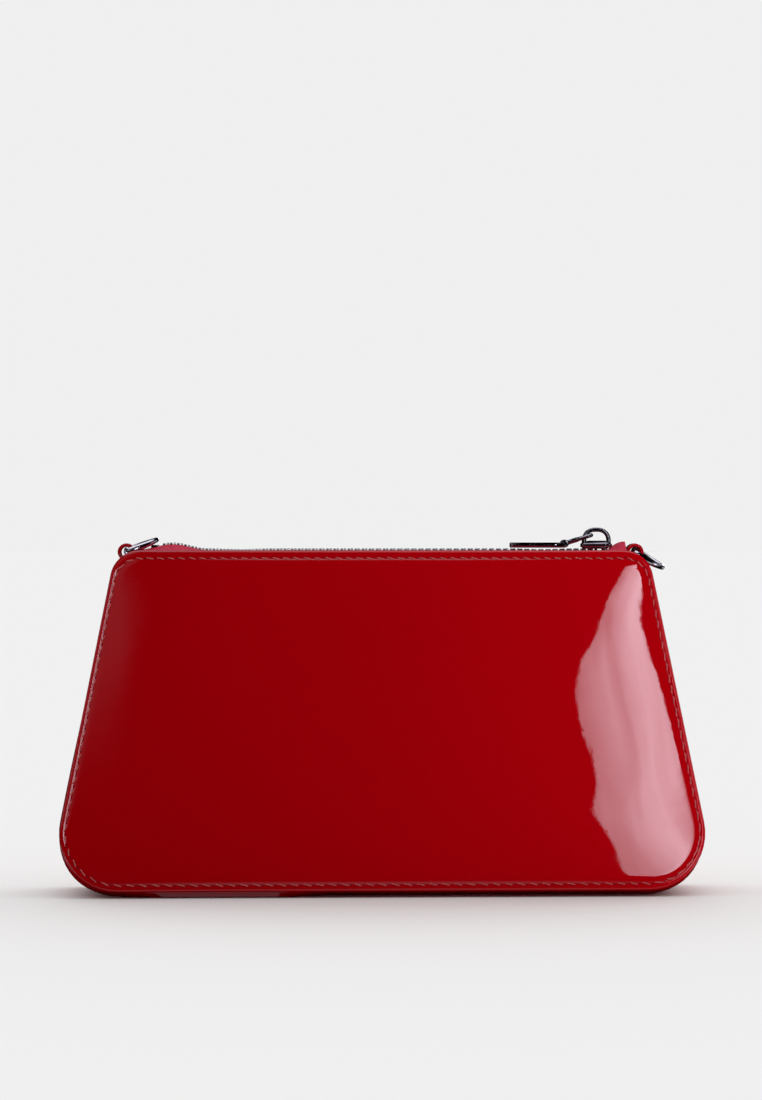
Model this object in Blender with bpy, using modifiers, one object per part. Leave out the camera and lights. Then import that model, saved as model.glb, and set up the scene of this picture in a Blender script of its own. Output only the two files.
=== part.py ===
"""A zip-top clutch purse: two stiff trapezoid panels sewn round a strip gusset, with a metal zip.

Metres, +Z up. The origin is under the middle of the base, X runs along the zip, and the front
panel faces -Y. The zip is closed, with its slider at the +X end.
"""

import math

import bmesh
import bpy
from mathutils import Matrix, Vector

MM = 0.001

# the bag as a whole
GAP = 0.3 * MM  # between pieces that touch
BASE_LIFT = 2.4 * MM  # the panels' lower edges above what the bag stands on
PANEL_HEIGHT = 127.5 * MM  # along the leaning panel
LOW_HALF_WIDTH = 125.0 * MM  # where the sides would meet the lower edge
TOP_HALF_WIDTH = 100.0 * MM
LOW_RADIUS = 21.4 * MM
TOP_RADIUS = 11.3 * MM
LOW_DEPTH = 50.0 * MM
TOP_DEPTH = 26.0 * MM
LEAN = math.asin((LOW_DEPTH - TOP_DEPTH) / 2 / PANEL_HEIGHT)
TOP_Z = BASE_LIFT + PANEL_HEIGHT * math.cos(LEAN)

# layers of a wall, from the outside in
PANEL_THICK = 2.0 * MM
PANEL_EDGE = 0.6 * MM
BOARD_THICK = 0.8 * MM
LINING_THICK = 0.7 * MM
BOARD_DEPTH = PANEL_THICK + GAP
LINING_DEPTH = BOARD_DEPTH + BOARD_THICK + GAP
POCKET_DEPTH = LINING_DEPTH + LINING_THICK + GAP
BOARD_INSET = 5.2 * MM
LINING_INSET = 4.4 * MM
WALL_TOP_INSET = 10.0 * MM  # boards and linings stop below the zip tapes
WALL_TOP_RADIUS = 3.0 * MM
POCKET_HALF_WIDTH = 62.0 * MM
POCKET_LOW = 30.0 * MM
POCKET_TOP = 98.0 * MM
POCKET_RADIUS = 6.0 * MM

# the gusset, a strip that bulges past the panels' edges
GUSSET_THICK = 1.6 * MM
GUSSET_INSET = 1.0 * MM
GUSSET_END_INSET = 4.6 * MM  # it dips under the ring tabs at both ends
GUSSET_BULGE = BASE_LIFT + GUSSET_INSET
DIP_HOLDS = 0.4  # share of the top corner that stays dipped
GUSSET_END_BULGE = 0.2 * MM
BULGE_GROWS_OVER = 95.0 * MM  # from the top down
GUSSET_END_X = 88.5 * MM
FLAT_PART = 0.55  # share of the strip's width that is flat
ACROSS = (-1.0, -0.8, -FLAT_PART, 0.0, FLAT_PART, 0.8, 1.0)
CORNER_STEPS = 6
LINER_STEP = GUSSET_THICK + 0.5 * MM
LINER_BULGE = 1.6 * MM
BOARD_HALF_LENGTH = 97.0 * MM
BOARD_HALF_WIDTH = 15.5 * MM
BASE_BOARD_THICK = 1.0 * MM
BASE_BOARD_Z = 2.3 * MM

# the zip
ZIP_Z = TOP_Z - 0.35 * MM
TAPE_THICK = 0.8 * MM
TAPE_STATIONS = 62
TAPE_TO_PANEL = 0.1 * MM  # more than the usual gap
TAPE_TURN = (0.7 * MM, 1.0 * MM)  # how far across and down the web turns into the flange
WEB_SHARE = 0.6  # of a rise, halfway over to the panel
TAPE_END_X = (-90.4 * MM, 92.4 * MM)
TAPE_INNER = 3.2 * MM
TAPE_FLANGE = 7.5 * MM
TAPE_END_FLANGE = 2.8 * MM  # over the gusset's ends
FLANGE_SHORT_X = (82.0 * MM, 87.0 * MM)
TOOTH_PITCH = 2.68 * MM
TOOTH_WIDTH = 1.0 * MM
TOOTH_REACH = -0.9 * MM  # past the centre line
BEAD = (1.4 * MM, 2.8 * MM)
BEAD_STEPS = 30
TEETH_HEIGHT = 2.0 * MM
TEETH_END_X = (-82.5 * MM, 82.6 * MM)
# centre, half length and height of each rise of the soft tapes
RISES = (
    (-79.0 * MM, 14.0 * MM, 1.6 * MM),
    (-53.0 * MM, 12.0 * MM, -0.9 * MM),
    (61.0 * MM, 13.0 * MM, -0.5 * MM),
    (92.4 * MM, 4.0 * MM, 2.0 * MM),
)
CHAIN_SPREAD = 0.6 * MM
STOP_SIZE = (2.4 * MM, 1.4 * MM, 2.2 * MM)
TOP_STOP_AT = (85.2 * MM, 2.4 * MM)
BOTTOM_STOP_X = -85.4 * MM
BOTTOM_STOP_SIZE = (3.0 * MM, 5.8 * MM, 2.3 * MM)

# the slider and its pull
SLIDER_X = 81.8 * MM
SLIDER_HALF_LENGTH = 5.8 * MM
SLIDER_TAIL_HALF_WIDTH = 3.9 * MM
SLIDER_NOSE_HALF_WIDTH = 5.1 * MM
SLIDER_SHOULDER = (0.5 * MM, 2.6 * MM)  # where it starts and ends growing wider
SLIDER_CORNER = 0.9 * MM
METAL_EDGE = 0.35 * MM
CHANNEL_HALF_HEIGHT = 1.35 * MM
PLATE_TOP = 1.7 * MM
PLATE_LOW = 1.1 * MM
FLANGE_THICK = 0.75 * MM
TAPE_SLOT = 1.5 * MM
POST_RADIUS = 0.75 * MM
POST_X = 85.8 * MM
BAIL_HALF_LENGTH = 5.5 * MM
BAIL_HEIGHT = 5.5 * MM
BAIL_BAR = 1.5 * MM
BAIL_WIDTH = 3.0 * MM
BAIL_POWER = 2.5
BAIL_STEPS = 16
BAIL_Z = ZIP_Z + CHANNEL_HALF_HEIGHT + PLATE_TOP + GAP
LINK_PIVOT = Vector((79.8 * MM, 0.0, TOP_Z + 5.6 * MM))
TAB_PIVOT = Vector((69.6 * MM, 0.0, TOP_Z + 2.4 * MM))
LINK_WIRE = 0.65 * MM
LINK_LOOP = 5.6 * MM
LINK_CORNER = 1.2 * MM
LUG_HALF_WIDTH = 1.25 * MM
LUG_THICK = 1.5 * MM
LUG_RADIUS = 1.25 * MM
PIN_RADIUS = 0.6 * MM
PIN_FIT = 0.12 * MM
PIN_SHORT = 0.1 * MM  # its ends inside the tab's sides
EAR_RADIUS = 1.35 * MM
TAB_LENGTH = 20.8 * MM
TAB_HALF_WIDTH = 3.1 * MM
TAB_THICK = 1.5 * MM
TAB_END_RADIUS = 2.4 * MM
TAB_EAR_CORNER = 0.3 * MM
TAB_LIFT = 0.12 * MM  # its lower face above the ears'
EAR_SHORT = 0.08 * MM
TAB_SLOT_HALF_WIDTH = LUG_HALF_WIDTH + GAP
TAB_SLOT_LENGTH = 2.2 * MM

# the strap rings and the leather tabs that hold them
RING_X = 96.2 * MM
RING_Z = TOP_Z - 0.8 * MM
RING_WIRE = 0.95 * MM
RING_HALF_WIDTH = 6.2 * MM
RING_REACH = 12.2 * MM
RING_POWER = 0.8
RING_STEPS = 20
RING_ANGLES = {"left": math.radians(22), "right": math.radians(-28)}
RING_TWISTS = {"left": math.radians(3), "right": math.radians(8)}
LOOP_OUTER = 3.3 * MM
LOOP_INNER = 1.9 * MM
LOOP_WIDTH = 8.0 * MM
LOOP_TAIL_X = 89.4 * MM
LOOP_SIDES = 28

MOUTH_PIVOT = Vector((0.0, LOW_DEPTH / 2 - PANEL_THICK, BASE_LIFT))

RED_PATENT = ("red_patent", (0.27, 0.0, 0.004, 1.0), 0.08, 0.0)
DARK_BOARD = ("dark_board", (0.10, 0.09, 0.08, 1.0), 0.8, 0.0)
LINING_CLOTH = ("lining_cloth", (0.06, 0.004, 0.006, 1.0), 0.7, 0.0)
TAPE_CLOTH = ("tape_cloth", (0.50, 0.02, 0.05, 1.0), 0.7, 0.0)
BRIGHT_NICKEL = ("bright_nickel", (0.75, 0.75, 0.76, 1.0), 0.12, 1.0)


def clear_scene():
    for item in list(bpy.data.objects):
        bpy.data.objects.remove(item, do_unlink=True)


def new_collection(name):
    collection = bpy.data.collections.new(name)
    bpy.context.scene.collection.children.link(collection)
    return collection


clear_scene()
PURSE = new_collection("clutch_purse")
CUTTERS = new_collection("cutters")


def material(name, finish):
    kind, colour, roughness, metallic = finish
    made = bpy.data.materials.new(f"{name}_{kind}")
    made.use_nodes = True
    shader = made.node_tree.nodes["Principled BSDF"]
    shader.inputs["Base Color"].default_value = colour
    shader.inputs["Roughness"].default_value = roughness
    shader.inputs["Metallic"].default_value = metallic
    return made


def add_piece(name, data, finish, matrix=None, parent=None):
    piece = bpy.data.objects.new(name, data)
    data.materials.append(material(name, finish))
    PURSE.objects.link(piece)
    if parent is not None:
        piece.parent = parent
        piece.matrix_parent_inverse = Matrix.Translation(-parent.location)
    piece.matrix_basis = matrix or Matrix.Identity(4)
    return piece


def add_cutter(name, data, matrix=None):
    cutter = bpy.data.objects.new(name, data)
    CUTTERS.objects.link(cutter)
    cutter.matrix_basis = matrix or Matrix.Identity(4)
    cutter.hide_render = True
    cutter.display_type = "WIRE"
    return cutter


def add_pivot(name, location):
    pivot = bpy.data.objects.new(name, None)
    pivot.location = location
    pivot.empty_display_size = 5 * MM
    PURSE.objects.link(pivot)
    return pivot


def boolean(piece, cutter, operation="DIFFERENCE"):
    step = piece.modifiers.new(f"{operation.lower()}_{cutter.name}", "BOOLEAN")
    step.object = cutter
    step.operation = operation
    step.solver = "EXACT"


def bevel(piece, width, segments=2):
    step = piece.modifiers.new("soft_edges", "BEVEL")
    step.width = width
    step.segments = segments
    step.limit_method = "ANGLE"
    step.angle_limit = math.radians(40)


def weld(piece):
    step = piece.modifiers.new("close_caps", "WELD")
    step.merge_threshold = 0.00001


def solidify(piece, thickness, offset):
    step = piece.modifiers.new("thickness", "SOLIDIFY")
    step.thickness = thickness
    step.offset = offset
    step.use_even_offset = True


def smooth_shade(mesh, angle=40):
    mesh.shade_smooth()
    mesh.set_sharp_from_angle(angle=math.radians(angle))


def outline_curve(name, points, thickness):
    """A flat closed outline in the curve's own XY, as thick as said and centred on it."""
    curve = bpy.data.curves.new(name, "CURVE")
    curve.dimensions = "2D"
    curve.fill_mode = "BOTH"
    curve.extrude = thickness / 2
    spline = curve.splines.new("POLY")
    spline.points.add(len(points) - 1)
    for slot, (x, y) in zip(spline.points, points):
        slot.co = (x, y, 0.0, 1.0)
    spline.use_cyclic_u = True
    return curve


def tube_curve(name, points, radius):
    """A round closed wire along the points."""
    curve = bpy.data.curves.new(name, "CURVE")
    curve.dimensions = "3D"
    curve.bevel_depth = radius
    curve.bevel_resolution = 2
    spline = curve.splines.new("POLY")
    spline.points.add(len(points) - 1)
    for slot, point in zip(spline.points, points):
        slot.co = (*point, 1.0)
    spline.use_cyclic_u = True
    return curve


def mesh_of_curve(name, curve):
    """The curve as a welded mesh, for pieces that are cut or joined."""
    holder = bpy.data.objects.new(name, curve)
    bpy.context.scene.collection.objects.link(holder)
    graph = bpy.context.evaluated_depsgraph_get()
    mesh = bpy.data.meshes.new_from_object(holder.evaluated_get(graph))
    bpy.data.objects.remove(holder, do_unlink=True)
    shape = bmesh.new()
    shape.from_mesh(mesh)
    bmesh.ops.remove_doubles(shape, verts=shape.verts, dist=0.00001)
    shape.to_mesh(mesh)
    shape.free()
    mesh.materials.clear()
    return mesh


def box_mesh(name, size):
    shape = bmesh.new()
    bmesh.ops.create_cube(shape, size=1.0, matrix=Matrix.Diagonal((*size, 1.0)))
    mesh = bpy.data.meshes.new(name)
    shape.to_mesh(mesh)
    shape.free()
    return mesh


def cylinder_mesh(name, radius, length, segments=20):
    """A cylinder along its own Y."""
    shape = bmesh.new()
    bmesh.ops.create_cone(
        shape,
        cap_ends=True,
        segments=segments,
        radius1=radius,
        radius2=radius,
        depth=length,
        matrix=Matrix.Rotation(math.pi / 2, 4, "X"),
    )
    mesh = bpy.data.meshes.new(name)
    shape.to_mesh(mesh)
    shape.free()
    return mesh


def rounded_outline(corners, radii, steps):
    """The polygon through the corners, each turned into an arc of its own radius."""
    points = []
    count = len(corners)
    for number, (corner, radius) in enumerate(zip(corners, radii)):
        corner = Vector(corner)
        before = (Vector(corners[number - 1]) - corner).normalized()
        after = (Vector(corners[(number + 1) % count]) - corner).normalized()
        half_angle = before.angle(after) / 2
        centre = corner + (before + after).normalized() * radius / math.sin(half_angle)
        reach = radius / math.tan(half_angle)
        first = corner + before * reach - centre
        last = corner + after * reach - centre
        turn = first.angle_signed(last)
        for step in range(steps + 1):
            swing = Matrix.Rotation(-turn * step / steps, 2)
            points.append(tuple(centre + swing @ first))
    return points


def wall_outline(inset, top_inset=None, top_radius=None):
    """A panel's outline in its own plane, moved in from the edge, with its base at 0."""
    top_inset = inset if top_inset is None else top_inset
    top_radius = TOP_RADIUS - inset if top_radius is None else top_radius
    slope = (LOW_HALF_WIDTH - TOP_HALF_WIDTH) / PANEL_HEIGHT
    side = inset * math.sqrt(1 + slope * slope)
    low = inset
    high = PANEL_HEIGHT - top_inset
    low_half = LOW_HALF_WIDTH - slope * low - side
    high_half = LOW_HALF_WIDTH - slope * high - side
    corners = ((-low_half, low), (low_half, low), (high_half, high), (-high_half, high))
    radii = (LOW_RADIUS - inset, LOW_RADIUS - inset, top_radius, top_radius)
    return rounded_outline(corners, radii, 8)


def wall_matrix(rear, depth):
    """From a wall's own plane to the bag: its X and Y lie in the wall and its Z points out."""
    normal = Vector((0.0, -math.cos(LEAN), math.sin(LEAN)))
    place = Vector((0.0, -LOW_DEPTH / 2, BASE_LIFT)) - normal * depth
    front = Matrix.Translation(place) @ Matrix.Rotation(math.pi / 2 - LEAN, 4, "X")
    return Matrix.Rotation(math.pi if rear else 0.0, 4, "Z") @ front


def add_wall_layer(name, points, thickness, depth, finish, rear, parent=None):
    matrix = wall_matrix(rear, depth + thickness / 2)
    return add_piece(name, outline_curve(name, points, thickness), finish, matrix, parent)


def add_walls(mouth):
    for side, rear, parent in (("front", False, None), ("rear", True, mouth)):
        name = f"{side}_panel"
        outline = wall_outline(0.0)
        panel = add_wall_layer(name, outline, PANEL_THICK, 0.0, RED_PATENT, rear, parent)
        weld(panel)
        bevel(panel, PANEL_EDGE)
        board = wall_outline(BOARD_INSET, WALL_TOP_INSET, WALL_TOP_RADIUS)
        add_wall_layer(f"{side}_board", board, BOARD_THICK, BOARD_DEPTH, DARK_BOARD, rear, parent)
        lining = wall_outline(LINING_INSET, WALL_TOP_INSET, WALL_TOP_RADIUS)
        add_wall_layer(
            f"{side}_lining", lining, LINING_THICK, LINING_DEPTH, LINING_CLOTH, rear, parent
        )
    corners = (
        (-POCKET_HALF_WIDTH, POCKET_LOW),
        (POCKET_HALF_WIDTH, POCKET_LOW),
        (POCKET_HALF_WIDTH, POCKET_TOP),
        (-POCKET_HALF_WIDTH, POCKET_TOP),
    )
    pocket = rounded_outline(corners, (POCKET_RADIUS,) * 4, 4)
    add_wall_layer("slip_pocket", pocket, LINING_THICK, POCKET_DEPTH, LINING_CLOTH, True, mouth)


def smooth_step(value):
    value = min(max(value, 0.0), 1.0)
    return value * value * (3 - 2 * value)


def strip_stations():
    """Along the left half of the gusset, from its end at the zip down to the middle of the base.

    Each is a point of the panels' outline seen from the front, the way out of the bag there, and
    how far the strip has left its end, from 0 to 1.
    """
    lean = math.atan2(LOW_HALF_WIDTH - TOP_HALF_WIDTH, PANEL_HEIGHT)
    corners = (
        (-LOW_HALF_WIDTH, 0.0),
        (LOW_HALF_WIDTH, 0.0),
        (TOP_HALF_WIDTH, PANEL_HEIGHT),
        (-TOP_HALF_WIDTH, PANEL_HEIGHT),
    )
    top_reach = TOP_RADIUS * math.tan((math.pi / 2 - lean) / 2)
    low_reach = LOW_RADIUS * math.tan((math.pi / 2 + lean) / 2)
    top_centre = Vector((corners[3][0] + top_reach, PANEL_HEIGHT - TOP_RADIUS))
    low_centre = Vector((corners[0][0] + low_reach, LOW_RADIUS))
    side_turn = math.pi - lean
    stations = [(Vector((-GUSSET_END_X, PANEL_HEIGHT)), math.pi / 2, 0.0)]
    for step in range(CORNER_STEPS + 1):
        turn = math.pi / 2 + (side_turn - math.pi / 2) * step / CORNER_STEPS
        out = Vector((math.cos(turn), math.sin(turn)))
        stations.append((top_centre + out * TOP_RADIUS, turn, step / CORNER_STEPS))
    side_steps = 5
    out = Vector((math.cos(side_turn), math.sin(side_turn)))
    first = top_centre + out * TOP_RADIUS
    last = low_centre + out * LOW_RADIUS
    for step in range(1, side_steps):
        stations.append((first.lerp(last, step / side_steps), side_turn, 1.0))
    low_steps = 8
    for step in range(low_steps + 1):
        turn = side_turn + (1.5 * math.pi - side_turn) * step / low_steps
        out = Vector((math.cos(turn), math.sin(turn)))
        stations.append((low_centre + out * LOW_RADIUS, turn, 1.0))
    return stations


def inner_half_depth(z):
    """From the middle of the bag to a panel's inner face, less the gap, at this height."""
    outer = LOW_DEPTH / 2 - (z - BASE_LIFT) * math.tan(LEAN)
    return outer - PANEL_THICK / math.cos(LEAN) - GAP


def strip_mesh(name, step_in, bulge, skip=0):
    """The gusset's surface as an open sheet lofted round the bag, moved in by step_in.

    It can leave out the first few stations at both ends.
    """
    left = strip_stations()[skip:]
    right = [(Vector((-p.x, p.y)), math.pi - turn, left_end) for p, turn, left_end in left]
    shape = bmesh.new()
    rows = []
    for point, turn, left_end in left + right[::-1]:
        dip_left = 1 - smooth_step((left_end - DIP_HOLDS) / (1 - DIP_HOLDS))
        dip = (GUSSET_END_INSET - GUSSET_INSET) * dip_left
        inset = GUSSET_INSET + dip + step_in
        full = smooth_step((PANEL_HEIGHT - point.y) / BULGE_GROWS_OVER)
        rise = GUSSET_END_BULGE + (bulge - GUSSET_END_BULGE) * full
        out = Vector((math.cos(turn), 0.0, math.sin(turn)))
        foot = Vector((point.x, 0.0, BASE_LIFT + point.y * math.cos(LEAN))) - out * inset
        row = []
        for across in ACROSS:
            past_flat = max(0.0, abs(across) - FLAT_PART) / (1 - FLAT_PART)
            place = foot + out * rise * (1 - past_flat**2)
            place.y = across * inner_half_depth(place.z)
            row.append(shape.verts.new(place))
        rows.append(row)
    for before, after in zip(rows, rows[1:]):
        for a, b, c, d in zip(before, before[1:], after[1:], after):
            shape.faces.new((a, b, c, d))
    mesh = bpy.data.meshes.new(name)
    shape.to_mesh(mesh)
    shape.free()
    return mesh


def add_gusset():
    mesh = strip_mesh("gusset", 0.0, GUSSET_BULGE)
    smooth_shade(mesh)
    solidify(add_piece("gusset", mesh, RED_PATENT), GUSSET_THICK, -1.0)
    mesh = strip_mesh("gusset_lining", LINER_STEP, LINER_BULGE, CORNER_STEPS + 1)
    smooth_shade(mesh)
    solidify(add_piece("gusset_lining", mesh, LINING_CLOTH), LINING_THICK, -1.0)
    size = (2 * BOARD_HALF_LENGTH, 2 * BOARD_HALF_WIDTH, BASE_BOARD_THICK)
    place = Matrix.Translation((0.0, 0.0, BASE_BOARD_Z + BASE_BOARD_THICK / 2))
    add_piece("base_board", box_mesh("base_board", size), DARK_BOARD, place)


def tape_rise(x):
    """How far the soft tapes stand above the straight zip line here."""
    height = 0.0
    for centre, half_length, rise in RISES:
        off = (x - centre) / half_length
        if abs(off) < 1:
            height += rise * math.cos(off * math.pi / 2) ** 2
    return height


def chain_spread(x):
    """How far each row of teeth has left the centre line inside the slider's nose."""
    return CHAIN_SPREAD * smooth_step((x - SLIDER_X) / SLIDER_HALF_LENGTH)


def tape_mesh(name, side):
    """Half the zip's tape: a flange down behind the panel, and a web over to the teeth."""
    shape = bmesh.new()
    rows = []
    to_panel = TAPE_THICK / 2 + TAPE_TO_PANEL
    for number in range(TAPE_STATIONS + 1):
        x = TAPE_END_X[0] + (TAPE_END_X[1] - TAPE_END_X[0]) * number / TAPE_STATIONS
        rise = tape_rise(x)
        short = smooth_step((abs(x) - FLANGE_SHORT_X[0]) / (FLANGE_SHORT_X[1] - FLANGE_SHORT_X[0]))
        low = ZIP_Z - TAPE_FLANGE + (TAPE_FLANGE - TAPE_END_FLANGE) * short
        outer = inner_half_depth(ZIP_Z) - to_panel
        inner = TAPE_INNER + chain_spread(x)
        section = (
            (inner_half_depth(low) - to_panel, low),
            (outer, ZIP_Z - TAPE_TURN[1]),
            (outer - TAPE_TURN[0], ZIP_Z),
            ((outer + inner) / 2, ZIP_Z + rise * WEB_SHARE),
            (inner, ZIP_Z + rise),
        )
        rows.append([shape.verts.new((x, side * y, z)) for y, z in section])
    for before, after in zip(rows, rows[1:]):
        for a, b, c, d in zip(before, before[1:], after[1:], after):
            shape.faces.new((a, b, c, d) if side > 0 else (d, c, b, a))
    mesh = bpy.data.meshes.new(name)
    shape.to_mesh(mesh)
    shape.free()
    return mesh


def comb_mesh(name, side):
    """One row of teeth on its bead, as one body."""
    first, last = TEETH_END_X
    shift = 0.0 if side < 0 else TOOTH_PITCH / 2
    count = int((last - first - shift - TOOTH_WIDTH / 2) / TOOTH_PITCH) + 1
    outline = []
    for number in range(count):
        x = first + shift + TOOTH_WIDTH / 2 + number * TOOTH_PITCH
        for edge, across in ((-1, BEAD[0]), (-1, TOOTH_REACH), (1, TOOTH_REACH), (1, BEAD[0])):
            outline.append((x + edge * TOOTH_WIDTH / 2, across))
    start = outline[0][0]
    end = outline[-1][0]
    for step in range(BEAD_STEPS + 1):
        outline.append((end + (start - end) * step / BEAD_STEPS, BEAD[1]))
    shape = bmesh.new()
    corners = [
        shape.verts.new((x, side * (across + chain_spread(x)), -TEETH_HEIGHT / 2))
        for x, across in outline
    ]
    floor = shape.faces.new(corners)
    lifted = bmesh.ops.extrude_face_region(shape, geom=[floor])["geom"]
    tops = [item for item in lifted if isinstance(item, bmesh.types.BMVert)]
    bmesh.ops.translate(shape, verts=tops, vec=(0.0, 0.0, TEETH_HEIGHT))
    for vert in shape.verts:
        vert.co.z += ZIP_Z + tape_rise(vert.co.x)
    bmesh.ops.recalc_face_normals(shape, faces=shape.faces)
    bmesh.ops.triangulate(shape, faces=shape.faces)
    mesh = bpy.data.meshes.new(name)
    shape.to_mesh(mesh)
    shape.free()
    return mesh


def add_zip(mouth):
    for side, name, parent in ((-1, "front", None), (1, "rear", mouth)):
        mesh = tape_mesh(f"zip_tape_{name}", side)
        smooth_shade(mesh)
        tape = add_piece(f"zip_tape_{name}", mesh, TAPE_CLOTH, None, parent)
        solidify(tape, TAPE_THICK, 0.0)
        comb = comb_mesh(f"zip_teeth_{name}", side)
        add_piece(f"zip_teeth_{name}", comb, BRIGHT_NICKEL, None, parent)
        stop = box_mesh(f"top_stop_{name}", STOP_SIZE)
        place = Matrix.Translation((TOP_STOP_AT[0], side * TOP_STOP_AT[1], ZIP_Z))
        bevel(add_piece(f"top_stop_{name}", stop, BRIGHT_NICKEL, place, parent), METAL_EDGE)
    stop = box_mesh("bottom_stop", BOTTOM_STOP_SIZE)
    place = Matrix.Translation((BOTTOM_STOP_X, 0.0, ZIP_Z + tape_rise(BOTTOM_STOP_X)))
    bevel(add_piece("bottom_stop", stop, BRIGHT_NICKEL, place), METAL_EDGE)


def slider_outline(inset, overhang=0.0):
    tail = SLIDER_TAIL_HALF_WIDTH - inset
    nose = SLIDER_NOSE_HALF_WIDTH - inset
    back = -SLIDER_HALF_LENGTH - overhang
    front = SLIDER_HALF_LENGTH + overhang
    return (
        (back, -tail),
        (SLIDER_SHOULDER[0], -tail),
        (SLIDER_SHOULDER[1], -nose),
        (front, -nose),
        (front, nose),
        (SLIDER_SHOULDER[1], nose),
        (SLIDER_SHOULDER[0], tail),
        (back, tail),
    )


def add_slider(pivot):
    place = Matrix.Translation((SLIDER_X, 0.0, ZIP_Z))
    height = 2 * CHANNEL_HALF_HEIGHT + PLATE_TOP + PLATE_LOW
    lift = Matrix.Translation((0.0, 0.0, (PLATE_TOP - PLATE_LOW) / 2))
    outline = rounded_outline(slider_outline(0.0), (SLIDER_CORNER,) * 8, 3)
    hull = mesh_of_curve("slider_body", outline_curve("slider_body", outline, height))
    hull.transform(lift)
    body = add_piece("slider_body", hull, BRIGHT_NICKEL, place, pivot)
    bevel(body, METAL_EDGE)
    channel = outline_curve(
        "slider_channel", slider_outline(FLANGE_THICK, 2 * MM), 2 * CHANNEL_HALF_HEIGHT
    )
    boolean(body, add_cutter("slider_channel", mesh_of_curve("slider_channel", channel), place))
    slot_size = (4 * SLIDER_HALF_LENGTH, 4 * SLIDER_NOSE_HALF_WIDTH, TAPE_SLOT)
    boolean(body, add_cutter("tape_slot", box_mesh("tape_slot", slot_size), place))
    post = cylinder_mesh("slider_post", POST_RADIUS, 2 * CHANNEL_HALF_HEIGHT + 1 * MM)
    upright = Matrix.Translation((POST_X, 0.0, ZIP_Z)) @ Matrix.Rotation(math.pi / 2, 4, "X")
    boolean(body, add_cutter("slider_post", post, upright), "UNION")

    arch = []
    for half, height, way in (
        (BAIL_HALF_LENGTH, BAIL_HEIGHT, 1),
        (BAIL_HALF_LENGTH - BAIL_BAR, BAIL_HEIGHT - BAIL_BAR, -1),
    ):
        for step in range(BAIL_STEPS + 1):
            turn = math.pi * step / BAIL_STEPS
            turn = turn if way > 0 else math.pi - turn
            across = math.copysign(abs(math.cos(turn)) ** (2 / BAIL_POWER), math.cos(turn))
            arch.append((half * across, height * math.sin(turn) ** (2 / BAIL_POWER)))
    upright = Matrix.Translation((SLIDER_X, 0.0, BAIL_Z)) @ Matrix.Rotation(math.pi / 2, 4, "X")
    curve = outline_curve("slider_bail", arch, BAIL_WIDTH)
    bail = add_piece("slider_bail", curve, BRIGHT_NICKEL, upright, pivot)
    weld(bail)
    bevel(bail, METAL_EDGE)


def link_matrix():
    """From the link's own axes to the bag: its -X points from the link's pivot to the tab's."""
    along = LINK_PIVOT - TAB_PIVOT
    slope = math.atan2(along.z, along.x)
    return Matrix.Translation(LINK_PIVOT) @ Matrix.Rotation(-slope, 4, "Y")


def add_pull(link_pivot, tab_pivot):
    half = BAIL_WIDTH / 2 + GAP + LINK_WIRE
    corners = ((0.0, half), (-LINK_LOOP, half), (-LINK_LOOP, -half), (0.0, -half))
    loop = [(x, y, 0.0) for x, y in rounded_outline(corners, (LINK_CORNER,) * 4, 4)]
    wire = mesh_of_curve("pull_link", tube_curve("pull_link", loop, LINK_WIRE))
    smooth_shade(wire)
    link = add_piece("pull_link", wire, BRIGHT_NICKEL, link_matrix(), link_pivot)
    length = (LINK_PIVOT - TAB_PIVOT).length
    reach = length - LINK_LOOP
    lug = box_mesh("link_lug", (reach, 2 * LUG_HALF_WIDTH, LUG_THICK))
    middle = link_matrix() @ Matrix.Translation((-LINK_LOOP - reach / 2, 0.0, 0.0))
    boolean(link, add_cutter("link_lug", lug, middle), "UNION")
    eye = cylinder_mesh("link_eye", LUG_RADIUS, 2 * LUG_HALF_WIDTH)
    at_tab = Matrix.Translation(TAB_PIVOT)
    boolean(link, add_cutter("link_eye", eye, at_tab), "UNION")
    hole = cylinder_mesh("pin_hole", PIN_RADIUS + PIN_FIT, 4 * TAB_HALF_WIDTH)
    cutter = add_cutter("pin_hole", hole, at_tab)
    boolean(link, cutter)

    pin = cylinder_mesh("pull_pin", PIN_RADIUS, 2 * (TAB_HALF_WIDTH - PIN_SHORT), 16)
    smooth_shade(pin)
    add_piece("pull_pin", pin, BRIGHT_NICKEL, at_tab, link_pivot)

    low = -TAB_HALF_WIDTH
    corners = ((-TAB_LENGTH, low), (0.0, low), (0.0, -low), (-TAB_LENGTH, -low))
    radii = (TAB_END_RADIUS, TAB_EAR_CORNER, TAB_EAR_CORNER, TAB_END_RADIUS)
    outline = rounded_outline(corners, radii, 6)
    plate = mesh_of_curve("pull_tab", outline_curve("pull_tab", outline, TAB_THICK))
    plate.transform(Matrix.Translation((0.0, 0.0, TAB_THICK / 2 - EAR_RADIUS + TAB_LIFT)))
    tab = add_piece("pull_tab", plate, BRIGHT_NICKEL, at_tab, tab_pivot)
    ear = cylinder_mesh("tab_ear", EAR_RADIUS, 2 * (TAB_HALF_WIDTH - EAR_SHORT))
    boolean(tab, add_cutter("tab_ear", ear, at_tab), "UNION")
    slot_size = (2 * TAB_SLOT_LENGTH, 2 * TAB_SLOT_HALF_WIDTH, 6 * TAB_THICK)
    boolean(tab, add_cutter("tab_slot", box_mesh("tab_slot", slot_size), at_tab))
    boolean(tab, cutter)


def ring_matrix(side):
    """From a ring's own axes to the bag: its bar lies on Y and its bow reaches to +X."""
    place = Vector((-RING_X if side == "left" else RING_X, 0.0, RING_Z))
    swing = Matrix.Rotation(-RING_ANGLES[side], 4, "Y")
    return Matrix.Translation(place) @ swing @ Matrix.Rotation(RING_TWISTS[side], 4, "X")


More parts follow.
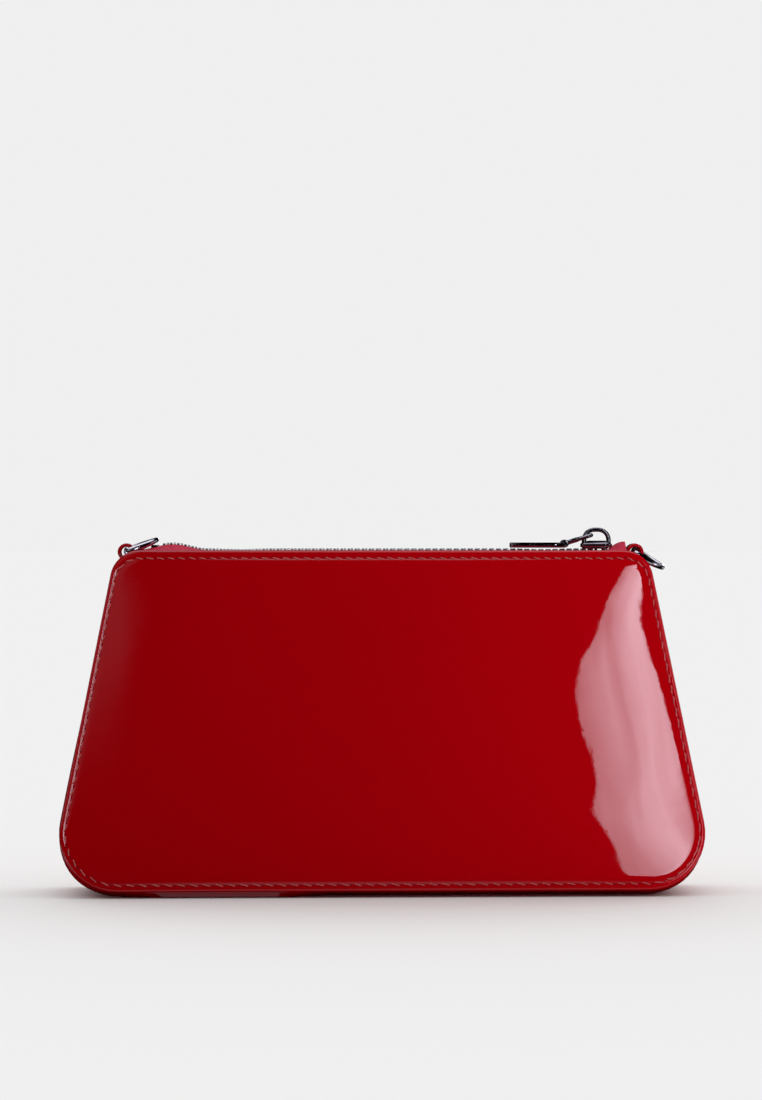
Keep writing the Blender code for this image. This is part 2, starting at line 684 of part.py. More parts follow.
def add_ring(side):
    points = []
    for step in range(RING_STEPS + 1):
        turn = -math.pi / 2 + math.pi * step / RING_STEPS
        out = RING_REACH * math.cos(turn) ** RING_POWER if 0 < step < RING_STEPS else 0.0
        points.append((out, RING_HALF_WIDTH * math.sin(turn), 0.0))
    name = f"ring_{side}"
    pivot = add_pivot(f"{name}_pivot", ring_matrix(side).translation)
    add_piece(name, tube_curve(name, points, RING_WIRE), BRIGHT_NICKEL, ring_matrix(side), pivot)

    way = -1 if side == "left" else 1
    at_centre = Matrix.Translation((way * RING_X, 0.0, RING_Z))
    loop = cylinder_mesh(f"ring_tab_{side}", LOOP_OUTER, LOOP_WIDTH, LOOP_SIDES)
    tab = add_piece(f"ring_tab_{side}", loop, RED_PATENT, at_centre)
    thickness = LOOP_OUTER - LOOP_INNER
    length = RING_X - LOOP_TAIL_X
    tail = box_mesh(f"loop_tail_{side}", (length, LOOP_WIDTH, thickness))
    middle = Vector((way * (RING_X - length / 2), 0.0, RING_Z - LOOP_OUTER + thickness / 2))
    under = Matrix.Translation(middle)
    boolean(tab, add_cutter(f"loop_tail_{side}", tail, under), "UNION")
    hole = cylinder_mesh(f"loop_hole_{side}", LOOP_INNER, 2 * LOOP_WIDTH, 24)
    boolean(tab, add_cutter(f"loop_hole_{side}", hole, at_centre))


def build_purse():
    mouth = add_pivot("mouth_pivot", MOUTH_PIVOT)
    add_walls(mouth)
    add_gusset()
    add_zip(mouth)
    slider = add_pivot("slider_travel", (SLIDER_X, 0.0, ZIP_Z))
    add_slider(slider)
    add_pull(add_pivot("link_pivot", LINK_PIVOT), add_pivot("tab_pivot", TAB_PIVOT))
    for side in ("left", "right"):
        add_ring(side)


build_purse()
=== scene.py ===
import math
import random

import bmesh
import bpy
from mathutils import Matrix, Vector, noise


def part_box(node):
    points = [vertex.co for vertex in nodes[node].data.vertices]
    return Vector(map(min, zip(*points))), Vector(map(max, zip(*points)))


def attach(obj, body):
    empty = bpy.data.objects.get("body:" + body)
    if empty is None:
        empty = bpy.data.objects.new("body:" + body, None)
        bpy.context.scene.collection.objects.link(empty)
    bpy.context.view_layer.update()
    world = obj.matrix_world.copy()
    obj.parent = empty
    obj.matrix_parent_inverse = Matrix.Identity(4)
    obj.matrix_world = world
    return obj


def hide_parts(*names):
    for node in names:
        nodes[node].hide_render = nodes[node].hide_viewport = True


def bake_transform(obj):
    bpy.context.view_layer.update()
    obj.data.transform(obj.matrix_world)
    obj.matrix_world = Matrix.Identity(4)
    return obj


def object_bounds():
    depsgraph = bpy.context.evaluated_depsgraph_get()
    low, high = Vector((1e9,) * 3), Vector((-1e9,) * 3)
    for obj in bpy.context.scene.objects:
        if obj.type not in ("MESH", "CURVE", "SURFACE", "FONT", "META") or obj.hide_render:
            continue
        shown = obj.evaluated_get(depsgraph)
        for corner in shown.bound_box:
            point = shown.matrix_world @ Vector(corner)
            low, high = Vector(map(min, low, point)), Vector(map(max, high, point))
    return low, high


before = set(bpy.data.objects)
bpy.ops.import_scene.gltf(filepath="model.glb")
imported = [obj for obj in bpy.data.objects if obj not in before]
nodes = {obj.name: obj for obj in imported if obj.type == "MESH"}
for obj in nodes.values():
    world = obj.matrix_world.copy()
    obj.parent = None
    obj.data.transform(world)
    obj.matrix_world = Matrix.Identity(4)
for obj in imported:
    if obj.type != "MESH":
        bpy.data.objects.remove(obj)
cadLow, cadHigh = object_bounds()
mm = 0.001
crosswise = Vector((0, 1, 0))
print("frame loaded")

# the bag's driving sizes, as in the frame
bag = {
    "lowHalf": 125.0 * mm,
    "topHalf": 100.0 * mm,
    "height": 127.5 * mm,
    "lowRadius": 21.4 * mm,
    "topRadius": 11.3 * mm,
    "depthLow": 50.0 * mm,
    "depthTop": 26.0 * mm,
    "lift": 2.4 * mm,
    "thick": 2.0 * mm,
    "gap": 0.3 * mm,
}
lean = math.asin((bag["depthLow"] - bag["depthTop"]) / 2 / bag["height"])
topZ = bag["lift"] + bag["height"] * math.cos(lean)
sideSlope = (bag["lowHalf"] - bag["topHalf"]) / bag["height"]


# an output socket that takes part in sums
class Wire:
    def __init__(self, paint, socket):
        self.paint = paint
        self.socket = socket

    def sum(self, operation, first, second):
        return self.paint.node("Math", {"operation": operation}, {0: first, 1: second})

    def __add__(self, other):
        return self.sum("ADD", self, other)

    def __radd__(self, other):
        return self.sum("ADD", other, self)

    def __sub__(self, other):
        return self.sum("SUBTRACT", self, other)

    def __rsub__(self, other):
        return self.sum("SUBTRACT", other, self)

    def __mul__(self, other):
        return self.sum("MULTIPLY", self, other)

    def __rmul__(self, other):
        return self.sum("MULTIPLY", other, self)

    def __truediv__(self, other):
        return self.sum("DIVIDE", self, other)

    def __rtruediv__(self, other):
        return self.sum("DIVIDE", other, self)

    def __abs__(self):
        return self.sum("ABSOLUTE", self, 0.0)


class Paint:
    def __init__(self, tree):
        self.tree = tree

    # makes a node of a kind, sets it up, feeds its sockets and hands back one output
    def node(self, kind, settings=None, inputs=None, output=0):
        made = self.tree.nodes.new("ShaderNode" + kind)
        for name, value in (settings or {}).items():
            setattr(made, name, value)
        for name, value in (inputs or {}).items():
            self.feed(made.inputs[name], value)
        return Wire(self, made.outputs[output]) if made.outputs else made

    def feed(self, socket, value):
        if isinstance(value, Wire):
            self.tree.links.new(value.socket, socket)
        elif isinstance(value, (tuple, list)) and len(value) == 3 and socket.type == "RGBA":
            socket.default_value = (*value, 1.0)
        else:
            socket.default_value = value

    def place(self):
        return self.node("TexCoord", output="Object")

    def parts(self, vector):
        return [self.node("SeparateXYZ", {}, {0: vector}, output=n) for n in range(3)]

    def noise(self, scale, detail=2.0, roughness=0.5, at=None, stretch=None):
        at = at or self.place()
        if stretch:
            at = self.node("Mapping", {}, {"Vector": at, "Scale": stretch})
        inputs = {"Vector": at, "Scale": scale, "Detail": detail, "Roughness": roughness}
        return self.node("TexNoise", {}, inputs)

    def wave(self, value):
        return self.node("Math", {"operation": "SINE"}, {0: value})

    def larger(self, first, second):
        return self.node("Math", {"operation": "MAXIMUM"}, {0: first, 1: second})

    # 0 below low, 1 above high, smooth between
    def step(self, value, low, high):
        settings = {"interpolation_type": "SMOOTHSTEP"}
        return self.node("MapRange", settings, {0: value, 1: low, 2: high, 3: 0.0, 4: 1.0})

    def mix(self, share, first, second):
        settings = {"data_type": "RGBA"}
        return self.node("Mix", settings, {0: share, 6: first, 7: second}, output=2)

    def bump(self, height, distance, normal=None):
        inputs = {"Height": height, "Distance": distance, "Strength": 1.0}
        if normal:
            inputs["Normal"] = normal
        return self.node("Bump", {}, inputs)


class Finish(Paint):
    def __init__(self, name, **fixed):
        self.material = bpy.data.materials.new(name)
        self.material.use_nodes = True
        super().__init__(self.material.node_tree)
        self.shader = self.tree.nodes["Principled BSDF"]
        self.set(**fixed)

    # sockets of the shader by their names in camelCase
    def set(self, **values):
        for name, value in values.items():
            words = "".join(" " + c if c.isupper() else c for c in name).title()
            words = words.replace("Ior", "IOR")
            self.feed(self.shader.inputs[words], value)


patent = {
    "deep": (0.27, 0.0, 0.0018),
    "bright": (0.44, 0.0, 0.0036),
    "even": 0.55,
    # how fast the colour brightens towards the right: painted light falling from the right
    "across": 3.6,
    "cloudy": 0.15,
    "roughness": 0.012,
    "wave": 0.00006,
    "ruffle": 0.000004,
    "peel": 0.0000006,
}


def patentLeather():
    f = Finish("redPatentLeather", ior=1.5)
    x = f.parts(f.place())[0]
    # deep on the left to bright on the right is painted light from the right; the cloudy noise on top
    # is random tone
    share = patent["even"] + x * patent["across"] + (f.noise(14.0, 3.0) - 0.5) * patent["cloudy"]
    f.set(baseColor=f.mix(share, patent["deep"], patent["bright"]))
    smudge = f.step(f.noise(60.0, 4.0), 0.55, 0.8)
    f.set(roughness=patent["roughness"] + smudge * 0.02)
    wave = f.bump(f.noise(34.0, 2.0, 0.35), patent["wave"])
    ruffle = f.bump(f.noise(170.0, 3.0), patent["ruffle"], wave)
    peel = f.bump(f.noise(1400.0, 2.0), patent["peel"], ruffle)
    f.set(normal=peel)
    return f.material


cloth = {"tape": (0.26, 0.0, 0.010), "tapeLight": (0.92, 0.05, 0.13), "lining": (0.075, 0.006, 0.009)}


# over and under threads of a plain weave, from two crossed waves
def weave(f, threads, tilt=0.0):
    at = f.node("Mapping", {}, {"Vector": f.place(), "Rotation": (0.0, 0.0, tilt)})
    x, y, z = f.parts(at)
    turn = threads * math.tau
    return f.wave((x + z * 0.35) * turn) * f.wave((y + z) * turn)


def tapeCloth():
    f = Finish("zipTapeCloth", roughness=0.72, specularIorLevel=0.2)
    threads = weave(f, 1250.0, 0.6)
    speck = f.noise(2200.0, 2.0)
    light = f.step(threads * 0.5 + speck, 0.3, 0.85)
    f.set(baseColor=f.mix(light, cloth["tape"], cloth["tapeLight"]))
    f.set(normal=f.bump(threads + speck, 0.00009))
    return f.material


def liningCloth():
    f = Finish("liningTwill", roughness=0.78, sheenWeight=0.25, sheenRoughness=0.5)
    threads = weave(f, 900.0, 0.9)
    fade = f.step(f.noise(30.0, 3.0), 0.3, 0.7)
    dark = f.mix(fade, cloth["lining"], tuple(c * 1.5 for c in cloth["lining"]))
    f.set(baseColor=f.mix(f.step(threads, -1.0, 1.0), dark, tuple(c * 1.9 for c in cloth["lining"])))
    f.set(normal=f.bump(threads, 0.00007))
    return f.material


# thread colour, and a darker one painted as shade in the grooves between its plies
thread = {"colour": (0.62, 0.13, 0.12), "shade": (0.30, 0.02, 0.03), "ply": 2600.0}


def sewingThread():
    f = Finish("bondedThread", roughness=0.5, sheenWeight=0.2)
    x, y, z = f.parts(f.place())
    ply = f.wave((x + z + y) * thread["ply"] * math.tau / 2)
    # the troughs of the ply wave take the darker colour: painted shade in the grooves between the
    # twisted plies
    f.set(baseColor=f.mix(f.step(ply, -1.0, 0.6), thread["shade"], thread["colour"]))
    f.set(normal=f.bump(ply, 0.00006))
    return f.material


def needleHole():
    f = Finish("needleHole", roughness=0.85)
    # near black: painted shade of the dark inside of a needle hole
    f.set(baseColor=f.mix(f.noise(3000.0), (0.012, 0.0, 0.001), (0.05, 0.0, 0.002)))
    return f.material


# polished plate, darker in its worn low spots, with fine hairline scratches
def polishedMetal(name, light, dark, roughness):
    f = Finish(name, metallic=1.0)
    cloud = f.step(f.noise(500.0, 3.0), 0.3, 0.75)
    f.set(baseColor=f.mix(cloud, dark, light))
    hair = f.noise(900.0, 2.0, 0.7, stretch=(1.0, 9.0, 5.0))
    f.set(roughness=roughness + f.step(hair, 0.5, 0.8) * 0.12)
    f.set(normal=f.bump(hair, 0.000004))
    return f.material


def cardboard():
    f = Finish("greyBoard", roughness=0.9)
    flecks = f.step(f.noise(700.0, 4.0), 0.45, 0.7)
    f.set(baseColor=f.mix(flecks, (0.16, 0.14, 0.12), (0.30, 0.27, 0.23)))
    f.set(normal=f.bump(f.noise(1500.0, 3.0), 0.00006))
    return f.material


redLeather = patentLeather()
redTape = tapeCloth()
redLining = liningCloth()
redThread = sewingThread()
holeShadeFinish = needleHole()
nickel = polishedMetal("polishedNickel", (0.66, 0.67, 0.69), (0.44, 0.45, 0.48), 0.06)
gunmetal = polishedMetal("polishedGunmetal", (0.30, 0.31, 0.33), (0.19, 0.20, 0.22), 0.06)
toothMetal = polishedMetal("toothNickel", (0.66, 0.66, 0.66), (0.38, 0.38, 0.39), 0.10)
greyBoard = cardboard()
print("finishes made")


def smoothStep(value):
    value = min(max(value, 0.0), 1.0)
    return value * value * (3 - 2 * value)


def addObject(name, shape, material, angle=50, closed=True):
    if closed:
        bmesh.ops.recalc_face_normals(shape, faces=shape.faces)
    mesh = bpy.data.meshes.new(name)
    shape.to_mesh(mesh)
    shape.free()
    made = bpy.data.objects.new(name, mesh)
    bpy.context.scene.collection.objects.link(made)
    mesh.materials.append(material)
    mesh.shade_smooth()
    if angle:
        mesh.set_sharp_from_angle(angle=math.radians(angle))
    return made


# from a wall's own plane, across, up and out, to the bag
def wallPoint(rear, across, up, out):
    y = -bag["depthLow"] / 2 + up * math.sin(lean) - out * math.cos(lean)
    z = bag["lift"] + up * math.cos(lean) + out * math.sin(lean)
    return Vector((across, -y if rear else y, z))


# a polygon with round corners, as the same number of points at any size, starting in the
# middle of its left side
def roundedRing(corners, radii, sideSteps, cornerSteps=12):
    arcs = []
    for number, (corner, radius) in enumerate(zip(corners, radii)):
        corner = Vector(corner)
        before = (Vector(corners[number - 1]) - corner).normalized()
        after = (Vector(corners[(number + 1) % 4]) - corner).normalized()
        half = before.angle(after) / 2
        centre = corner + (before + after).normalized() * radius / math.sin(half)
        first = corner + before * radius / math.tan(half) - centre
        turn = first.angle_signed(corner + after * radius / math.tan(half) - centre)
        swings = [Matrix.Rotation(-turn * n / cornerSteps, 2) for n in range(cornerSteps + 1)]
        arcs.append([centre + swing @ first for swing in swings])
    points = []
    for number, arc in enumerate(arcs):
        points += arc
        following = arcs[(number + 1) % 4][0]
        steps = sideSteps[number]
        points += [arc[-1].lerp(following, n / steps) for n in range(1, steps)]
    shift = len(points) - sideSteps[3] // 2
    return points[shift:] + points[:shift]


wall = {
    "margin": 2.0 * mm,
    "topMore": 0.6,
    "baseMore": 0.3,
    "leastRadius": 1.5 * mm,
    "sideSteps": (60, 32, 60, 32),
}


# the wall's outline moved in; its top and base move in a little more, as its stitches do
def wallRing(inset, topExtra=0.0):
    margin = min(inset, wall["margin"])
    side = inset * math.sqrt(1 + sideSlope**2)
    low = inset + margin * wall["baseMore"]
    high = bag["height"] - inset - margin * wall["topMore"] - topExtra
    lowHalf = bag["lowHalf"] - sideSlope * low - side
    highHalf = bag["lowHalf"] - sideSlope * high - side
    corners = ((-lowHalf, low), (lowHalf, low), (highHalf, high), (-highHalf, high))
    lowRadius = max(bag["lowRadius"] - inset, wall["leastRadius"])
    topRadius = max(bag["topRadius"] - inset, wall["leastRadius"])
    return roundedRing(corners, (lowRadius, lowRadius, topRadius, topRadius), wall["sideSteps"])


# joins each ring of corners to the next
def skin(shape, rings):
    for before, after in zip(rings, rings[1:]):
        for n in range(len(before)):
            shape.faces.new((before[n], before[n - 1], after[n - 1], after[n]))


# a solid through rings of places, capped at both ends or joined round on itself
def loft(shape, rings, closed=False):
    rings = [[shape.verts.new(place) for place in ring] for ring in rings]
    skin(shape, rings + rings[:1] if closed else rings)
    if not closed:
        shape.faces.new(rings[0])
        shape.faces.new(rings[-1][::-1])


# fills a ring with a grid; its corners' middles are at the same share of every ring
def closeRing(shape, ring, flat, placeAt):
    reach = len(ring) * 11 // 116
    columns, rows = len(ring) // 2 - 2 * reach, 2 * reach
    flat = [Vector(point) for point in flat]
    grid = []
    for i in range(columns + 1):
        u = i / columns
        low, high = flat[reach + i], flat[-reach - i]
        grid.append([])
        for j in range(rows + 1):
            v = j / rows
            left, right = reach - j, reach + columns + j
            if j in (0, rows):
                grid[-1].append(ring[reach + i] if j == 0 else ring[-reach - i])
            elif i in (0, columns):
                grid[-1].append(ring[left] if i == 0 else ring[right])
            else:
                ends = flat[left].lerp(flat[right], u)
                corners = flat[reach].lerp(flat[reach + columns], u) * (1 - v)
                corners += flat[-reach].lerp(flat[-reach - columns], u) * v
                grid[-1].append(shape.verts.new(placeAt(*(low.lerp(high, v) + ends - corners))))
    for before, after in zip(grid, grid[1:]):
        for j in range(rows):
            shape.faces.new((before[j], after[j], after[j + 1], before[j + 1]))


# a closed slab in a wall: rings over its outer face, then over its inner one, from a shared rim
def slab(rear, ringAt, outerInsets, outerAt, innerInsets, innerAt):
    shape = bmesh.new()
    rim = None
    for insets, outAt in ((outerInsets, outerAt), (innerInsets, innerAt)):

        def placeAt(x, up, inset=insets[-1], outAt=outAt):
            return wallPoint(rear, x, up, outAt(inset, x, up))

        rings = [rim] if rim else []
        for inset in insets:
            rings.append([shape.verts.new(placeAt(x, up, inset)) for x, up in ringAt(inset)])
        rim = rings[0]
        skin(shape, rings)
        closeRing(shape, rings[-1], ringAt(insets[-1]), placeAt)
    return shape


def settle(piece, body, node):
    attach(piece, body)
    if node:
        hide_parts(node)


def takeMouth(piece, node):
    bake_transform(piece)
    if node:
        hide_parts(node)


# cuts a rear piece at the middle into a left and a right half
def openHalves(whole, node):
    for side, way in (("left", 1), ("right", -1)):
        shape = bmesh.new()
        shape.from_mesh(whole.data)
        everything = [*shape.verts, *shape.edges, *shape.faces]
        bmesh.ops.bisect_plane(
            shape, geom=everything, plane_co=(0, 0, 0), plane_no=(way, 0, 0), clear_outer=True
        )
        edges = [edge for edge in shape.edges if edge.is_boundary]
        bmesh.ops.holes_fill(shape, edges=edges, sides=0)
        part = addObject(whole.name + side.title(), shape, whole.data.materials[0])
        takeMouth(part, node)
    bpy.data.objects.remove(whole, do_unlink=True)


# a front piece stays on the bag; a rear one is cut into halves at the middle
def hang(piece, rear, node):
    if rear:
        openHalves(piece, node)
    else:
        settle(piece, "bag", node)


# a tube or strap of any section swept along points that all lie across one side vector
def sweep(shape, points, side, section, closed=False):
    rings = []
    count = len(points)
    for n, point in enumerate(points):
        ahead = points[(n + 1) % count] if closed or n < count - 1 else point
        behind = points[n - 1] if closed or n > 0 else point
        along = (ahead - behind).normalized()
        over = side.cross(along).normalized()
        places = section(n / (count - 1)) if callable(section) else section
        rings.append([point + side * a + over * b for a, b in places])
    loft(shape, rings, closed)


def circle(radius, sides):
    turns = [math.tau * n / sides for n in range(sides)]
    return [(radius * math.cos(t), radius * math.sin(t)) for t in turns]


# a rectangle with soft corners; a lower power is squarer
def softBlock(half, high, power=0.45, highPower=None, count=20):
    places = []
    for a, b in circle(1.0, count):
        wide = math.copysign(abs(a) ** power, a) * half
        places.append((wide, math.copysign(abs(b) ** (highPower or power), b) * high))
    return places


panel = {
    "dome": 1.6 * mm,
    "sideDrop": 4,
    "topShare": 0.55,
    "grooveAt": 2.0 * mm,
    "grooveWidth": 0.6 * mm,
    "grooveDepth": 0.12 * mm,
    "edge": 1.0 * mm,
    "ripple": 0.05 * mm,
    "grows": 4.0 * mm,
    "turnedIn": 0.3 * mm,
    "edgeRings": (0.0, 0.06, 0.2, 0.4, 0.7, 1.0, 1.3, 1.5, 1.75, 2.0, 2.25, 2.5, 2.8, 3.4, 4.0, 5.0),
    "fieldRings": (6.5, 2.5, 18),
    "innerRings": (0.25, 0.9, 8.0, 30.0, 49.0),
}


def domeAt(rear, x, up):
    across = min(abs(x) / (bag["lowHalf"] - sideSlope * up - panel["grooveAt"]), 1.0)
    rise = min(abs(2 * up / bag["height"] - 1), 1.0)
    share = (1 - across ** panel["sideDrop"]) * (1 - panel["topShare"] * rise**4)
    seed = 7.0 if rear else 0.0
    ripple = noise.noise(Vector((x * 28, up * 28, seed))) * panel["ripple"]
    return panel["dome"] * share + ripple * min(1.0, share * 3)


def panelOuter(rear):
    def outAt(inset, x, up):
        edge = panel["edge"]
        turned = 0.0
        if inset < edge:
            turned = -edge + math.sqrt(edge**2 - (edge - inset) ** 2)
        groove = math.exp(-(((inset - panel["grooveAt"]) / panel["grooveWidth"]) ** 2))
        grow = smoothStep(inset / panel["grows"])
        return turned - panel["grooveDepth"] * groove + domeAt(rear, x, up) * grow

    return outAt


def addPanel(rear):
    name = "rearPanel" if rear else "frontPanel"
    first, step, count = panel["fieldRings"]
    field = [first + step * n for n in range(count)]
    insets = [value * mm for value in (*panel["edgeRings"], *field)]
    inner = [value * mm for value in panel["innerRings"]]

    def innerAt(inset, x, up):
        return -bag["thick"] + (panel["turnedIn"] if inset <= inner[0] else 0.0)

    shape = slab(rear, wallRing, insets, panelOuter(rear), inner, innerAt)
    made = addObject(name, shape, redLeather, 0)
    hang(made, rear, "rear_panel" if rear else "front_panel")


stitch = {
    "inset": 2.0 * mm,
    "topPitch": 3.9 * mm,
    "lowPitch": 4.7 * mm,
    "share": 0.66,
    "slant": math.radians(14),
    "slantSpread": (0.8, 0.4),
    "lengthSpread": (0.95, 0.1),
    "steps": 8,
    "radius": 0.21 * mm,
    "rise": 0.22 * mm,
    "sink": 0.25 * mm,
    "hole": 0.34 * mm,
    "holeRings": ((1.0, -0.05 * mm), (0.8, 0.05 * mm)),
    "sides": 8,
}


# places and directions of stitches along a closed ring in a wall, evenly spaced
def stitchPlaces():
    ring = [Vector(point) for point in wallRing(stitch["inset"])]
    ring.append(ring[0])
    lengths = [0.0]
    for before, after in zip(ring, ring[1:]):
        lengths.append(lengths[-1] + (after - before).length)
    places = []
    travelled = 0.0
    number = 0
    while travelled < lengths[-1] - stitch["topPitch"] / 2:
        while lengths[number + 1] < travelled:
            number += 1
        share = (travelled - lengths[number]) / (lengths[number + 1] - lengths[number])
        point = ring[number].lerp(ring[number + 1], share)
        along = (ring[number + 1] - ring[number]).normalized()
        high = point.y / bag["height"]
        pitch = stitch["lowPitch"] + (stitch["topPitch"] - stitch["lowPitch"]) * high
        places.append((point, along, pitch))
        travelled += pitch
    return places


def addStitch(shape, rear, point, along, pitch, chance):
    outAt = panelOuter(rear)
    least, spread = stitch["slantSpread"]
    slant = stitch["slant"] * (least + spread * chance.random()) * (-1 if rear else 1)
    way = Matrix.Rotation(-slant, 2) @ along
    least, spread = stitch["lengthSpread"]
    length = pitch * stitch["share"] * (least + spread * chance.random())
    path = []
    for n in range(stitch["steps"] + 1):
        share = n / stitch["steps"]
        place = point + way * length * (share - 0.5)
        bow = 1 - abs(2 * share - 1) ** 3
        ground = outAt(stitch["inset"], place.x, place.y)
        out = ground - stitch["sink"] + (stitch["rise"] + stitch["sink"]) * bow
        path.append(wallPoint(rear, place.x, place.y, out))
    outward = wallPoint(rear, 0, 0, 1) - wallPoint(rear, 0, 0, 0)
    side = (path[-1] - path[0]).cross(outward).normalized()
    sweep(shape, path, side, circle(stitch["radius"], stitch["sides"]))


# a shallow dark lens where the needle went through: painted shade standing in for the inside of the
# hole
def addHole(shape, rear, point):
    ground = panelOuter(rear)(stitch["inset"], point.x, point.y)
    rings = []
    for share, out in stitch["holeRings"]:
        flat = circle(stitch["hole"] * share, stitch["sides"])
        rings.append([wallPoint(rear, point.x + a, point.y + b, ground + out) for a, b in flat])
    loft(shape, rings)


def addStitching(rear):
    chance = random.Random(5 if rear else 3)
    name = "rear" if rear else "front"
    groups = {"left": -1, "right": 1} if rear else {"": 0}
    places = stitchPlaces()
    for side, way in groups.items():
        threads = bmesh.new()
        holes = bmesh.new()
        for point, along, pitch in places:
            if way * point.x < 0:
                continue
            addStitch(threads, rear, point, along, pitch, chance)
            addHole(holes, rear, point + along * pitch / 2)
        pieces = (
            addObject(f"{name}Stitches{side.title()}", threads, redThread, 0),
            addObject(f"{name}NeedleHoles{side.title()}", holes, holeShadeFinish, 0),
        )
        for piece in pieces:
            if rear:
                takeMouth(piece, None)
            else:
                settle(piece, "bag", None)


for rear in (False, True):
    addPanel(rear)
    addStitching(rear)
print("panels and stitches made")

layers = {
    "board": {"inset": 5.2, "depth": 2.3, "thick": 0.8},
    "lining": {"inset": 4.4, "depth": 3.4, "thick": 0.7},
    "topInset": 10.0,
    "pocket": {"half": 62.0, "low": 30.0, "high": 98.0, "radius": 6.0, "depth": 4.4, "thick": 0.6},
    "pocketHem": (0.25 * mm, 9.0, 1.0 * mm),
    "pocketRings": (0.0, 0.3, 1.5, 3.0, 7.0, 8.5, 12.0, 18.0, 24.0, 30.0),
    "rings": (0.0, 0.3, 2.0, 6.0, 12.0, 18.0, 24.0, 30.0, 36.0, 42.0, 48.0, 54.0),
    "topSlack": 1.2 * mm,
    "softens": 4.0 * mm,
    "pucker": 0.14 * mm,
}


def pucker(x, up, seed):
    return noise.noise(Vector((x * 90, up * 60, seed))) * layers["pucker"]


def addLayer(name, rear, sizes, material, node, loose):
    start = sizes["inset"] * mm
    extra = (layers["topInset"] - sizes["inset"]) * mm
    depth, thick = sizes["depth"] * mm, sizes["thick"] * mm

    def ringAt(inset):
        return wallRing(start + inset, extra - layers["topSlack"])

    def faceAt(level):
        def outAt(inset, x, up):
            soft = loose * pucker(x, up, 3.0 if rear else 1.0)
            return -depth - level * thick + soft * smoothStep(inset / layers["softens"]) * level

        return outAt

    insets = [value * mm for value in layers["rings"]]
    shape = slab(rear, ringAt, insets, faceAt(0.0), insets, faceAt(1.0))
    hang(addObject(name, shape, material), rear, node)


def addPocket():
    sizes = layers["pocket"]

    def ringAt(inset):
        half = sizes["half"] * mm - inset
        low, high = sizes["low"] * mm + inset, sizes["high"] * mm - inset
        corners = ((-half, low), (half, low), (half, high), (-half, high))
        radius = max(sizes["radius"] * mm - inset, 1 * mm)
        return roundedRing(corners, (radius, radius, 1 * mm, 1 * mm), (30, 16, 30, 16), 6)

    def faceAt(level):
        def outAt(inset, x, up):
            thicker, down, over = layers["pocketHem"]
            hem = thicker * level * smoothStep((up - (sizes["high"] - down) * mm) / over)
            soft = pucker(x, up, 9.0) * level * smoothStep(inset / (3 * mm))
            return -(sizes["depth"] + level * sizes["thick"]) * mm - hem + soft

        return outAt

    insets = [value * mm for value in layers["pocketRings"]]
    shape = slab(True, ringAt, insets, faceAt(0.0), insets, faceAt(1.0))
    openHalves(addObject("slipPocket", shape, redLining), "slip_pocket")


for rear, side in ((False, "front"), (True, "rear")):
    sizes = layers["board"]
    addLayer(f"{side}Board", rear, sizes, greyBoard, f"{side}_board", 0.0)
    sizes = layers["lining"]
    addLayer(f"{side}Lining", rear, sizes, redLining, f"{side}_lining", 1.0)
addPocket()
print("linings made")

gusset = {
    "inset": 1.0 * mm,
    "endInset": 4.6 * mm,
    "dipHolds": 0.4,
    "endBulge": 0.2 * mm,
    "growsOver": 95.0 * mm,
    "sideShare": 0.45,
    "endX": 88.5 * mm,
    "thick": 1.6 * mm,
    "flat": 0.55,
    "belly": (-62.0 * mm, 46.0 * mm, 0.36),
    "linerStep": 2.1 * mm,
    "linerBulge": 1.6 * mm,
    "linerThick": 0.7 * mm,
    "crease": 0.10 * mm,
    "sideSteps": (70, 28, 60, 28),
    "cornerSteps": 14,
    "halfRows": 9,
    "sideTurn": 0.1936,
}


# a panel's inner face, as half the bag's depth at this height
def innerHalfDepth(z):
    outer = bag["depthLow"] / 2 - (z - bag["lift"]) * math.tan(lean)
    return outer - bag["thick"] / math.cos(lean) - bag["gap"]


# stations from the zip's left end round the base to its right end: place and way out
def stripStations():
    low, top, high = bag["lowHalf"], bag["topHalf"], bag["height"]
    corners = ((-low, 0.0), (low, 0.0), (top, high), (-top, high))
    radii = (bag["lowRadius"],) * 2 + (bag["topRadius"],) * 2
    ring = roundedRing(corners, radii, gusset["sideSteps"], gusset["cornerSteps"])
    count = len(ring)
    stations = []
    for n, point in enumerate(ring):
        along = (ring[(n + 1) % count] - ring[n - 1]).normalized()
        out = Vector((along.y, -along.x))
        if point.y > bag["height"] - 1e-6 and abs(point.x) < gusset["endX"] - 0.2 * mm:
            continue
        stations.append((point, out))
    first = next(n for n, s in enumerate(stations) if s[0].y > bag["height"] - 1e-6 and s[0].x < 0)
    return stations[first:] + stations[:first]


